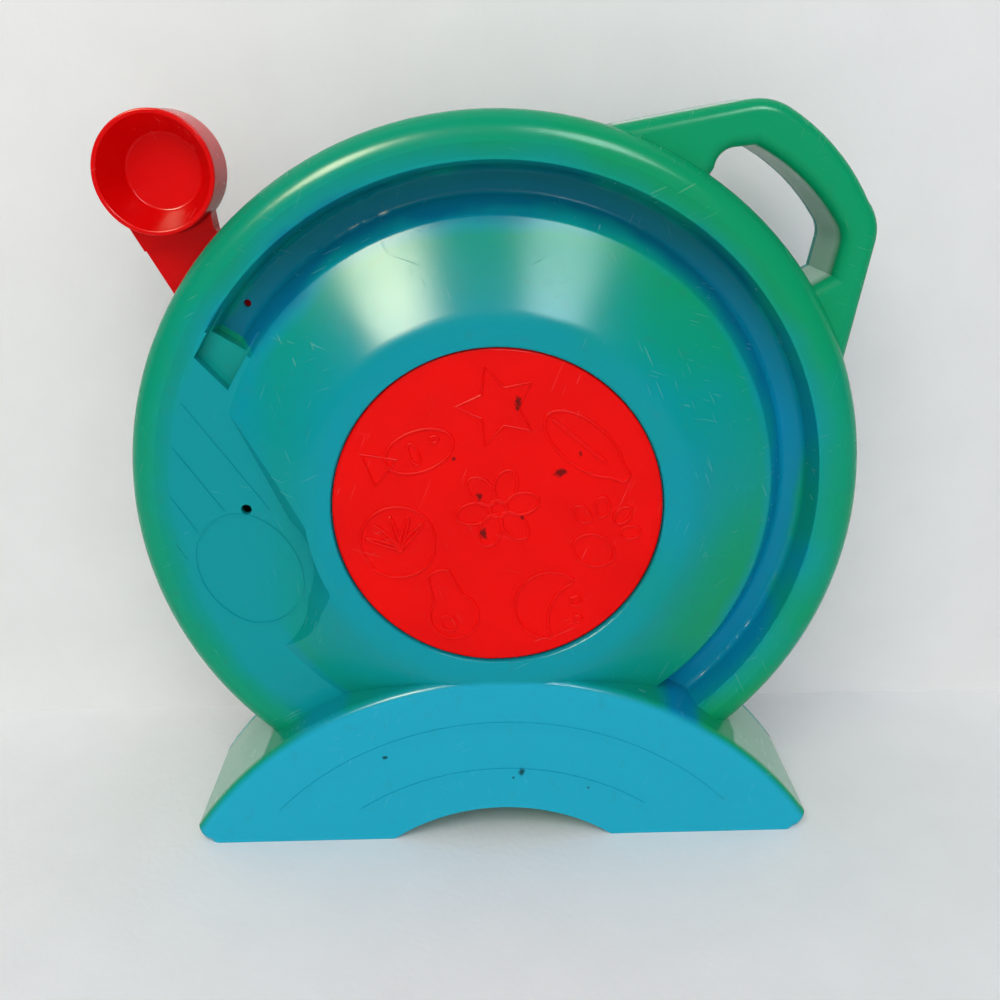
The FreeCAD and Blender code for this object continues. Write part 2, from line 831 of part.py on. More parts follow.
def build_rear_shell():
    """Rear half of the body: dish, ring channel, lever slot, arched base and half of the handle."""
    body = new_body("rear_shell")
    body.AllowCompound = True

    # Arched base
    base = face_sketch(body, "base_outline", d.base_face_depth)
    draw(base, base_outline(ZERO))
    base_block = pad(body, base, "base_block", d.seam_depth - d.base_face_depth)

    def base_roof_edge(edge):
        return lies_at(edge, d.base_face_depth) and edge.BoundBox.ZMax > 1 - d.axis_height.value

    round_edges(body, base_block, "base_roof_round", d.base_edge_round, base_roof_edge)

    # Two raised ribs that follow the base's roof
    ribs = face_sketch(body, "base_rib_outline", d.base_face_depth - d.rib_height)
    draw(ribs, rib_outline(d.outer_rib_radius, d.outer_rib_apex))
    draw(ribs, rib_outline(d.inner_rib_radius, d.inner_rib_apex))
    pad(body, ribs, "base_ribs", d.rib_height + d.wall / 2)

    # Rear half of the handle
    handle = face_sketch(body, "handle_outline", d.handle_depth)
    draw(handle, hand_outline("handle_outer"))
    draw(handle, hand_outline("handle_hole"))
    handle_block = pad(body, handle, "handle_block", d.seam_depth - d.handle_depth)

    def handle_rear_edge(edge):
        middle = edge.valueAt((edge.FirstParameter + edge.LastParameter) / 2)
        return lies_at(edge, d.handle_depth) and math.hypot(middle.x, middle.z) > d.body_radius.value - 1

    round_edges(body, handle_block, "handle_round", d.handle_round, handle_rear_edge)

    # Dish with its rounded rim and ring channel
    section = section_sketch(body, "dish_section")
    draw(section, dish_outside())
    turned(body, section, "dish")

    # The channel stops short on the left, where its place is filled level with the recess
    fill_span = FULL_TURN - d.channel_first_angle + d.channel_last_angle
    fill_middle = d.channel_first_angle + fill_span / 2 - FULL_TURN
    fill = section_sketch(body, "channel_fill_section", fill_middle)
    draw(fill, [
        (d.cone_radius - d.channel_edge_round, d.pad_depth), (channel_radius + 1, d.pad_depth),
        (channel_radius + 1, d.channel_depth + 1), (d.cone_radius - d.channel_edge_round, d.channel_depth + 1),
    ])
    turned(body, fill, "channel_fill", angle=fill_span)
    shelf = face_sketch(body, "shelf_outline", d.pad_depth - 1, turn=d.channel_first_angle)
    shelf_inner = d.cone_radius + d.channel_wall_run * 0.25
    shelf_outer = channel_radius - d.channel_outer_run * 0.25
    draw(shelf, [
        (shelf_inner, ZERO - d.shelf_step), (shelf_outer, ZERO - d.shelf_step),
        (shelf_outer, d.shelf_outer_run), (shelf_inner, d.shelf_inner_run),
    ])
    pocket(body, shelf, "shelf", d.shelf_depth - d.pad_depth + 1)

    # Hollow inside, one wall in from every outer face
    hollow = section_sketch(body, "hollow_section")
    cone_wall = d.wall * square_root(1 + cone_slope * cone_slope)
    draw(hollow, [
        (ZERO, d.wall), (d.flat_radius - cone_wall * 0.25, d.wall),
        (d.cone_radius - d.wall * 0.75, d.pad_depth + d.wall * 0.75),
        (channel_inner_floor - d.wall * 0.6, d.channel_depth + d.wall),
        (channel_outer_floor + d.wall * 0.85, d.channel_depth + d.wall),
        (channel_radius + d.wall * 0.85, d.pad_depth + d.wall),
        (crest_radius, d.rim_crest_depth + d.wall, d.rim_round - d.wall),
        (wall_radius, d.rim_crest_depth + d.rim_round), (wall_radius, d.seam_depth), (ZERO, d.seam_depth),
    ])
    turned(body, hollow, "hollow", "PartDesign::Groove")
    base_hollow = face_sketch(body, "base_hollow_outline", d.base_face_depth + d.wall)
    draw(base_hollow, base_outline(d.wall))
    pocket(body, base_hollow, "base_hollow", d.seam_depth)
    core = face_sketch(body, "handle_core_outline", d.handle_depth + d.wall)
    draw(core, handle_core())
    pocket(body, core, "handle_core", d.seam_depth)

    # Arch under the base, with a wall of its own
    arch_wall = face_sketch(body, "arch_wall_outline", d.base_face_depth)
    draw(arch_wall, arch_outline(d.wall))
    pad(body, arch_wall, "arch_wall", d.seam_depth - d.base_face_depth)
    arch = face_sketch(body, "arch_outline", ZERO - 1)
    draw(arch, arch_outline(ZERO))
    pocket(body, arch, "arch", d.body_depth)

    # Sunken panel beside the speaker, with leaning sides and its own wall behind
    lean = (d.pad_depth - d.recess_top_depth) * tangent(d.recess_draft)
    foot = hand_outline("recess_foot")
    top = leaned(foot, lean)
    wall_foot = leaned(foot, d.wall)
    wall_top = leaned(foot, lean + d.wall)
    backing(body, "recess_wall", wall_foot, wall_top, d.pad_depth + d.wall, d.recess_top_depth)
    trim = section_sketch(body, "recess_trim_section", d.recess_middle_angle)
    draw(trim, [
        (d.flat_radius, ZERO), (d.cone_radius, d.pad_depth), (channel_radius, d.pad_depth),
        (channel_radius, ZERO - 1), (d.flat_radius, ZERO - 1),
    ])
    turned(body, trim, "recess_trim", "PartDesign::Groove", d.recess_span)
    backing(body, "recess", foot, top, d.pad_depth, d.recess_top_depth, "PartDesign::SubtractiveLoft")
    relief = section_sketch(body, "recess_relief_section", d.relief_middle_angle)
    draw(relief, [
        (d.cone_radius + d.wall / 2, d.pad_depth + d.wall), (channel_radius, d.pad_depth + d.wall),
        (channel_outer_floor, d.channel_depth + d.wall + 1), (d.cone_radius + d.wall / 2, d.channel_depth + d.wall + 1),
    ])
    turned(body, relief, "recess_relief", "PartDesign::Groove", d.relief_span)

    # Speaker seat
    seat = face_sketch(body, "speaker_seat_outline", d.wall)
    draw_circle(seat, disc_hole_radius + d.wall)
    pad(body, seat, "speaker_seat", seat_front - d.wall)
    disc_hole = face_sketch(body, "disc_hole_outline", ZERO - 1)
    draw_circle(disc_hole, disc_hole_radius)
    pocket(body, disc_hole, "disc_hole", disc_seat_depth + 1)
    sound_hole = face_sketch(body, "sound_hole_outline", ZERO)
    draw_circle(sound_hole, seat_radius)
    sound_cut = pocket(body, sound_hole, "sound_hole", seat_front + 1)

    def speaker_lip(edge):
        return ring_edge(edge, disc_hole_radius, ZERO)

    round_edges(body, sound_cut, "speaker_lip_round", d.lip_round, speaker_lip)

    # Screw bosses with their pilot holes
    rim_foot = d.rim_crest_depth + d.wall
    base_foot = d.base_face_depth + d.wall / 2
    chassis_foot = (d.post_circle + d.housing_boss_radius - d.flat_radius) * cone_slope + d.screw_gap
    rim_count = len(housing_boss_angles)
    boss_sets = (
        ("rim_bosses", housing_bosses[:rim_count], rim_foot, plate_under),
        ("base_bosses", housing_bosses[rim_count:], base_foot, plate_under),
        ("chassis_bosses", chassis_posts, chassis_foot, d.rear_plate_depth),
    )
    for name, places, foot_depth, top_depth in boss_sets:
        bosses = face_sketch(body, name + "_outline", foot_depth)
        for across, up in places:
            draw_circle(bosses, d.housing_boss_radius, across, up)
        pad(body, bosses, name, top_depth - foot_depth)
    pilots = face_sketch(body, "housing_pilot_outline", plate_under - d.housing_screw_length)
    for across, up in housing_bosses:
        draw_circle(pilots, pilot_radius, across, up)
    pocket(body, pilots, "housing_pilots", d.housing_screw_length + 1)
    pilots = face_sketch(body, "chassis_pilot_outline", d.rear_plate_depth - d.chassis_grip)
    for across, up in chassis_posts:
        draw_circle(pilots, pilot_radius, across, up)
    pocket(body, pilots, "chassis_pilots", d.chassis_grip + 1)

    # Slot in the side wall for the lever's whole swing, and the two small vents
    slot = face_sketch(body, "lever_slot_outline", d.lever_depth - d.slot_clearance, pivot_across, pivot_up,
                       d.lever_angle)
    draw(slot, lever_slot_outline())
    pocket(body, slot, "lever_slot", d.lever_thickness + 2 * d.slot_clearance)
    vents = face_sketch(body, "vent_outline", d.pad_depth - 1)
    panel_vent = on_panel(ZERO - d.vent_across, ZERO - d.vent_drop)
    draw_circle(vents, d.vent_radius, *panel_vent)
    pocket(body, vents, "panel_vent", d.wall + 2)
    channel_vent = face_sketch(body, "channel_vent_outline", d.channel_depth - 1)
    draw_circle(channel_vent, d.vent_radius * 0.7, *polar(channel_inner_floor + d.channel_vent_run, d.channel_vent_angle))
    pocket(body, channel_vent, "channel_vent", d.wall + 2)

    # Raised lines on the sunken panel, and the oval's raised edge
    lines = face_sketch(body, "panel_line_outline", d.pad_depth - d.ridge_height)
    for name in ("ridge_long", "ridge_middle", "ridge_short", "ridge_stub"):
        start, end = hand_outline(name)
        draw(lines, line_outline(start, end, d.ridge_width))
    pad(body, lines, "panel_lines", d.ridge_height + d.wall / 2)
    oval_across, oval_up = on_panel(ZERO - d.oval_across, ZERO - d.oval_drop)
    oval = face_sketch(body, "panel_oval_outline", d.pad_depth - d.ridge_height, oval_across, oval_up, d.oval_turn)
    draw(oval, oval_outline(ZERO))
    draw(oval, oval_outline(d.oval_line))
    pad(body, oval, "panel_oval", d.ridge_height + d.wall / 2)
    return body


def backing(body, name, near_corners, far_corners, near_depth, far_depth, kind="PartDesign::AdditiveLoft"):
    """Solid between two like outlines at two depths."""
    near = face_sketch(body, name + "_near", near_depth)
    draw(near, near_corners)
    far = face_sketch(body, name + "_far", far_depth)
    draw(far, far_corners)
    feature = body.newObject(kind, name)
    feature.Profile = near
    feature.Sections = [far]
    feature.Ruled = True
    feature.Refine = False
    return feature


def lever_slot_outline():
    """Wedge that the lever's arm sweeps through the side wall, from the pivot outwards."""
    right = ZERO - d.arm_right - d.slot_clearance
    left = d.knob_radius + d.slot_clearance
    swing = d.lever_travel
    far = d.slot_reach
    near = d.slot_start
    return [
        (near, right), (far, right), (far * cosine(swing / 2), far * sine(swing / 2) + left / 2),
        (far * 0.8 * cosine(swing) - left * sine(swing), far * 0.8 * sine(swing) + left * cosine(swing)),
        (near * cosine(swing) - left * sine(swing), near * sine(swing) + left * cosine(swing)),
    ]


def line_outline(start, end, width):
    """Thin bar between two points."""
    run = end[0] - start[0]
    rise = end[1] - start[1]
    share = width / 2 / square_root(run * run + rise * rise)
    side = (rise * share, run * share)
    return [
        (start[0] + side[0], start[1] - side[1]), (end[0] + side[0], end[1] - side[1]),
        (end[0] - side[0], end[1] + side[1]), (start[0] - side[0], start[1] + side[1]),
    ]


def oval_outline(inset):
    """Oval of four arcs, long side across."""
    long_half = d.oval_length - inset
    short_half = d.oval_width - inset
    corner_across = long_half * 0.78
    corner_up = short_half * 0.66
    end_sag = long_half - corner_across
    side_sag = short_half - corner_up
    end_arc = (corner_up * corner_up + end_sag * end_sag) / (end_sag * 2)
    side_arc = (corner_across * corner_across + side_sag * side_sag) / (side_sag * 2)
    left = ZERO - corner_across
    low = ZERO - corner_up
    return [(corner_across, low, end_arc), (corner_across, corner_up, side_arc), (left, corner_up, end_arc),
            (left, low, side_arc)]


def build_front_shell():
    """Front half of the body: dial plate with its raised bezel, front of the base and of the handle."""
    body = new_body("front_shell")
    body.AllowCompound = True
    base = face_sketch(body, "front_base_outline", d.seam_depth)
    draw(base, base_outline(ZERO))
    depth = d.front_face_depth - d.seam_depth
    base_block = pad(body, base, "front_base_block", depth)

    def front_edge(edge):
        return lies_at(edge, d.front_face_depth) and edge.BoundBox.ZMax > 1 - d.axis_height.value

    round_edges(body, base_block, "front_base_round", d.front_edge_round, front_edge)
    handle = face_sketch(body, "front_handle_outline", d.seam_depth)
    draw(handle, hand_outline("handle_outer"))
    draw(handle, hand_outline("handle_hole"))
    handle_block = pad(body, handle, "front_handle_block", depth)

    def handle_front_edge(edge):
        middle = edge.valueAt((edge.FirstParameter + edge.LastParameter) / 2)
        return lies_at(edge, d.front_face_depth) and middle.z > 0

    round_edges(body, handle_block, "front_handle_round", d.front_edge_round, handle_front_edge)
    bezel_outer = d.bezel_inner_radius + d.bezel_width
    bezel_front = d.front_face_depth + d.bezel_height
    section = section_sketch(body, "dial_plate_section")
    draw(section, rounded([
        (d.hub_hole_radius, d.seam_depth), (d.body_radius, d.seam_depth), (d.body_radius, d.front_face_depth),
        (bezel_outer, d.front_face_depth), (bezel_outer, bezel_front), (d.bezel_inner_radius, bezel_front),
        (d.bezel_inner_radius, d.front_face_depth), (d.hub_hole_radius, d.front_face_depth),
    ], {2: d.front_edge_round, 3: d.bezel_foot_round, 4: d.bezel_edge_round, 5: d.bezel_edge_round}))
    turned(body, section, "dial_plate")

    # Hollow behind the plate, in the base and in the handle
    hollow = face_sketch(body, "front_hollow_outline", d.seam_depth)
    draw_circle(hollow, wall_radius)
    depth = plate_under - d.seam_depth
    pocket(body, hollow, "front_hollow", depth)
    base_hollow = face_sketch(body, "front_base_hollow_outline", d.seam_depth)
    draw(base_hollow, base_outline(d.wall))
    pocket(body, base_hollow, "front_base_hollow", depth)
    core = face_sketch(body, "front_handle_core_outline", d.seam_depth)
    draw(core, handle_core())
    pocket(body, core, "front_handle_core", depth)

    # Locating lip inside the rear shell, left out where the base opens below it
    lip = face_sketch(body, "lip_outline", d.seam_depth - d.lip_depth)
    lip_radius = wall_radius - d.lip_gap
    draw_circle(lip, lip_radius)
    draw_circle(lip, lip_radius - d.lip_thickness)
    pad(body, lip, "lip", plate_under - d.seam_depth + d.lip_depth)
    lip_gap = face_sketch(body, "lip_gap_outline", d.seam_depth - d.lip_depth - 1)
    half = d.lip_break_half
    top = ZERO - d.lip_break_drop
    draw(lip_gap, [(ZERO - half, floor_drop), (half, floor_drop), (half, top), (ZERO - half, top)])
    pocket(body, lip_gap, "lip_break", plate_under - d.seam_depth + d.lip_depth + 1)
    arch_wall = face_sketch(body, "front_arch_wall_outline", d.seam_depth)
    draw(arch_wall, arch_outline(d.wall))
    pad(body, arch_wall, "front_arch_wall", plate_under - d.seam_depth + d.wall / 2)
    arch = face_sketch(body, "front_arch_outline", d.seam_depth - d.lip_depth)
    draw(arch, arch_outline(ZERO))
    pocket(body, arch, "front_arch", d.body_depth)

    # Screw holes with sunk heads, and the hub hole
    holes = face_sketch(body, "screw_hole_outline", d.seam_depth)
    sinks = face_sketch(body, "screw_sink_outline", d.front_face_depth - d.screw_sink_depth)
    for across, up in housing_bosses:
        draw_circle(holes, clear_radius, across, up)
        draw_circle(sinks, d.screw_head_radius + d.screw_gap * 6, across, up)
    pocket(body, holes, "screw_holes", d.body_depth)
    pocket(body, sinks, "screw_sinks", d.body_depth)
    return body


def handle_core():
    """Hollow inside the handle, one wall in from its outside and from its finger hole."""
    outside = pushed(hand_outline("handle_outer"), ZERO - d.wall)
    hole = pushed(hand_outline("handle_hole"), d.wall)
    low_end = (along(outside[0][0], outside[1][0], 0.38), along(outside[0][1], outside[1][1], 0.38))
    high_end = (along(outside[4][0], outside[5][0], 0.5), along(outside[4][1], outside[5][1], 0.5))
    back = [hole[6][:2], hole[5][:2], hole[4][:2] + (ZERO - hole[3][2],), hole[3][:2] + (ZERO - hole[2][2],),
            hole[2][:2], hole[1][:2]]
    return [low_end, outside[1], outside[2], outside[3], outside[4][:2], high_end] + back


def plate(label, outline, near, far, holes, **place):
    """A flat plate across the dial's axis, with round holes given as (radius, across, up)."""
    body = new_body(label, **place)
    sketch = face_sketch(body, label + "_outline", near)
    draw(sketch, outline)
    for radius, across, up in holes:
        draw_circle(sketch, radius, across, up)
    pad(body, sketch, label + "_plate", far - near)
    return body


def build_speaker():
    """Embossed speaker disc and the thin sound cone behind it."""
    lathe("speaker_disc", rounded([
        (ZERO, d.disc_recess), (d.disc_radius, d.disc_recess), (d.disc_radius, disc_seat_depth),
        (ZERO, disc_seat_depth),
    ], {1: d.lip_round}))
    flange = disc_hole_radius + 1
    lathe("sound_cone", [
        (ZERO, d.cone_bottom_depth), (d.cone_bottom_radius, d.cone_bottom_depth),
        (seat_radius - d.cone_film, seat_front), (flange, seat_front), (flange, seat_front + d.cone_film),
        (seat_radius - d.cone_film / 2, seat_front + d.cone_film),
        (d.cone_bottom_radius + d.cone_film / 2, d.cone_bottom_depth + d.cone_film),
        (ZERO, d.cone_bottom_depth + d.cone_film),
    ])


def build_dial():
    """Picture disc, pointer with its cap, and the bush that the spindle turns in at the front."""
    ring("picture_disc", d.hub_hole_radius + d.running_gap * 2 + d.bush_rim, d.picture_radius, d.front_face_depth,
         picture_front)
    bush_outer = d.hub_hole_radius - d.screw_gap
    lathe("dial_bush", [
        (bore_radius, plate_under - d.bush_rim), (d.hub_hole_radius + d.bush_rim, plate_under - d.bush_rim),
        (d.hub_hole_radius + d.bush_rim, plate_under), (bush_outer, plate_under), (bush_outer, picture_front),
        (bore_radius, picture_front),
    ])

    # Arrow: a long head above the hub and a short tail below it
    arrow = new_body("pointer_arrow")
    outline = face_sketch(arrow, "arrow_outline", pointer_rear)
    head = d.pointer_length - d.pointer_head_length
    left = ZERO - d.pointer_shank_half
    draw(outline, [
        (d.pointer_shank_half, ZERO - d.pointer_tail), (d.pointer_shank_half, head),
        (d.pointer_head_half, head), (ZERO, d.pointer_length), (ZERO - d.pointer_head_half, head), (left, head),
        (left, ZERO - d.pointer_tail),
    ])
    blade = pad(arrow, outline, "arrow_blade", d.pointer_thickness)

    def blade_front_edge(edge):
        return lies_at(edge, pointer_front)

    round_edges(arrow, blade, "arrow_round", d.pointer_round, blade_front_edge)
    boss = face_sketch(arrow, "arrow_boss_outline", picture_front + d.lip_gap)
    draw_circle(boss, d.pointer_boss_radius)
    pad(arrow, boss, "arrow_boss", pointer_rear - picture_front)
    bore = face_sketch(arrow, "arrow_bore_outline", d.front_face_depth)
    draw_circle(bore, d.spindle_radius + d.press_gap)
    pocket(arrow, bore, "arrow_bore", d.body_depth)
    dome_run = d.pointer_cap_radius - d.pointer_cap_flat
    dome_rise = d.body_depth - pointer_front - d.pointer_cap_edge
    dome_radius = (dome_run * dome_run + dome_rise * dome_rise) / (dome_rise * 2)
    lathe("pointer_cap", [
        (ZERO, pointer_front), (d.pointer_cap_radius, pointer_front),
        (d.pointer_cap_radius, pointer_front + d.pointer_cap_edge, dome_radius), (d.pointer_cap_flat, d.body_depth),
        (ZERO, d.body_depth),
    ])


def build_spindle():
    """Steel spindle with the record, its turntable and the toothed ring that drives the governor."""
    lathe("spindle", rounded([
        (ZERO, d.spindle_rear_depth), (d.spindle_radius, d.spindle_rear_depth), (d.spindle_radius, pointer_front),
        (ZERO, pointer_front),
    ], {1: d.spindle_round}))
    fit = d.spindle_radius + d.press_gap
    record_front = d.record_depth + d.record_thickness
    step = (d.record_radius - d.record_label_radius - 2) / d.record_groove_count
    face = [(fit, record_front), (fit, d.record_depth)]
    for index in range(int(d.record_groove_count.value)):
        start = d.record_label_radius + step * index
        face += [(start, d.record_depth), (start + step / 4, d.record_depth + d.record_groove),
                 (start + step / 2, d.record_depth)]
    face += [(d.record_radius, d.record_depth), (d.record_radius, record_front)]
    lathe("record_disc", face)
    table_front = record_front + d.turntable_thickness
    lathe("turntable", [
        (fit, record_front), (d.turntable_radius, record_front), (d.turntable_radius, table_front),
        (d.turntable_radius - d.wall, table_front), (d.turntable_radius - d.wall, record_front + d.turntable_web),
        (d.turntable_hub_radius, record_front + d.turntable_web), (d.turntable_hub_radius, d.gear_depth),
        (fit, d.gear_depth),
    ])
    gear("turntable_gear", d.fine_module, d.turntable_gear_teeth, fit, d.gear_depth, d.gear_depth + d.gear_thickness,
         turn=mesh_turn(d.idler_angle, d.turntable_gear_teeth, False))
    ring("record_clip", fit, d.record_clip_radius, d.record_depth - d.record_clip_thickness, d.record_depth)
    ratchet = ring("ratchet_wheel", fit, d.ratchet_radius, d.ratchet_depth, d.ratchet_depth + d.ratchet_thickness)
    tooth = face_sketch(ratchet, "ratchet_tooth_outline", d.ratchet_depth - 1)
    draw(tooth, [
        (d.ratchet_radius - d.ratchet_tooth_height, ZERO), (d.ratchet_radius + 1, ZERO),
        (d.ratchet_radius + 1, d.ratchet_tooth_run),
    ])
    notch = pocket(ratchet, tooth, "ratchet_notch", d.ratchet_thickness + 2)
    polar_pattern(ratchet, notch, "ratchet_teeth", d.ratchet_teeth)


def build_tonearm():
    """Tonearm on its post, with the stylus that rests on the record."""
    place = {"across": d.tonearm_post_across, "up": d.tonearm_post_up, "turn": d.tonearm_angle}
    post_head = d.tonearm_depth - d.lip_gap
    sleeve_front = d.tonearm_depth + d.tonearm_sleeve_length + d.lip_gap
    lathe("tonearm_post", [
        (ZERO, post_head - d.post_head_thickness), (d.tonearm_post_radius * 1.6, post_head - d.post_head_thickness),
        (d.tonearm_post_radius * 1.6, post_head), (d.tonearm_post_radius, post_head),
        (d.tonearm_post_radius, sleeve_front), (d.tonearm_post_radius * 1.6, sleeve_front),
        (d.tonearm_post_radius * 1.6, d.rear_plate_depth), (ZERO, d.rear_plate_depth),
    ], across=d.tonearm_post_across, up=d.tonearm_post_up)
    arm = new_body("tonearm", **place)
    sleeve = face_sketch(arm, "tonearm_sleeve_outline", d.tonearm_depth)
    draw_circle(sleeve, d.tonearm_post_radius * 2)
    pad(arm, sleeve, "tonearm_sleeve", d.tonearm_sleeve_length)
    blade = face_sketch(arm, "tonearm_blade_outline", d.tonearm_depth)
    half = d.tonearm_post_radius
    low = ZERO - half
    draw(blade, [(ZERO, low * 1.4), (d.tonearm_length, low), (d.tonearm_length, half), (ZERO, half * 1.4)])
    pad(arm, blade, "tonearm_blade", d.tonearm_thickness)
    bore = face_sketch(arm, "tonearm_bore_outline", d.tonearm_depth - 1)
    draw_circle(bore, d.tonearm_post_radius + d.running_gap)
    pocket(arm, bore, "tonearm_bore", d.tonearm_sleeve_length + 2)
    stylus = new_body("stylus", **place)
    tip = face_sketch(stylus, "stylus_outline", d.tonearm_depth + d.tonearm_thickness, d.tonearm_length - half)
    draw_circle(tip, d.stylus_radius)
    pad(stylus, tip, "stylus_pin", d.record_depth - d.tonearm_depth - d.tonearm_thickness - d.lip_gap)


def chassis_plate(label, near, extra_holes):
    """One of the two plates that carry the mechanism between them."""
    corner = d.plate_corner
    left = ZERO - d.plate_left
    low = ZERO - d.plate_bottom
    outline = [
        (left + corner, low), (d.plate_right - corner, low), (d.plate_right, low + corner),
        (d.plate_right, d.plate_top - corner), (d.plate_right - corner, d.plate_top), (left + corner, d.plate_top),
        (left, d.plate_top - corner), (left, low + corner),
    ]
    holes = [(clear_radius, across, up) for across, up in chassis_posts]
    holes += [(d.bush_radius + d.press_gap, ZERO, ZERO), (d.lever_pin_radius + d.press_gap, pivot_across, pivot_up)]
    return plate(label, outline, near, near + d.plate_thickness, holes + extra_holes)


def build_chassis():
    """Plates, posts, screws and bushes that hold the mechanism inside the rear shell."""
    idler_hole = (d.idler_shaft_radius + d.running_gap, idler_across, idler_up)
    governor_hole = (d.governor_shaft_radius + d.running_gap, governor_across, governor_up)
    chassis_plate("chassis_rear_plate", d.rear_plate_depth, [idler_hole, governor_hole])
    chassis_plate("chassis_front_plate", d.front_plate_depth, [idler_hole, governor_hole])
    posts = []
    screws = []
    for number, (across, up) in enumerate(chassis_posts, start=1):
        posts.append(ring("chassis_post_%d" % number, clear_radius, d.post_radius, rear_plate_front,
                          d.front_plate_depth, across=across, up=up))
        screws.append(screw("chassis_screw_%d" % number, front_plate_front,
                            d.rear_plate_depth - d.chassis_grip + 1, across, up))
    group("chassis_posts", posts)
    group("chassis_screws", screws)
    bushes = []
    for name, near in (("rear", d.rear_plate_depth), ("front", d.front_plate_depth)):
        bushes.append(ring("spindle_bush_" + name, bore_radius, d.bush_radius, near - d.bush_overhang,
                           near + d.plate_thickness + d.bush_overhang))
    group("spindle_bushes", bushes)
    housing = []
    for number, (across, up) in enumerate(housing_bosses, start=1):
        under_head = d.front_face_depth - d.screw_sink_depth
        housing.append(screw("housing_screw_%d" % number, under_head, plate_under - d.housing_screw_length + 1,
                             across, up))
    group("housing_screws", housing)


def screw(label, under_head, tip, across, up):
    """A pan-head screw with a cross recess, driven from the dial side."""
    top = under_head + d.screw_head_height
    body = lathe(label, rounded([
        (ZERO, tip), (d.screw_radius, tip + d.screw_radius), (d.screw_radius, under_head),
        (d.screw_head_radius, under_head), (d.screw_head_radius, top), (ZERO, top),
    ], {4: d.screw_head_round}), across=across, up=up)
    cross = face_sketch(body, label + "_cross_outline", top - d.screw_slot_depth)
    half = d.screw_slot_width / 2
    reach = d.screw_head_radius * 0.6
    low = ZERO - half
    far = ZERO - reach
    draw(cross, [
        (half, far), (half, low), (reach, low), (reach, half), (half, half), (half, reach), (low, reach), (low, half),
        (far, half), (far, low), (low, low), (low, far),
    ])
    pocket(body, cross, label + "_cross", d.screw_head_height)
    return body


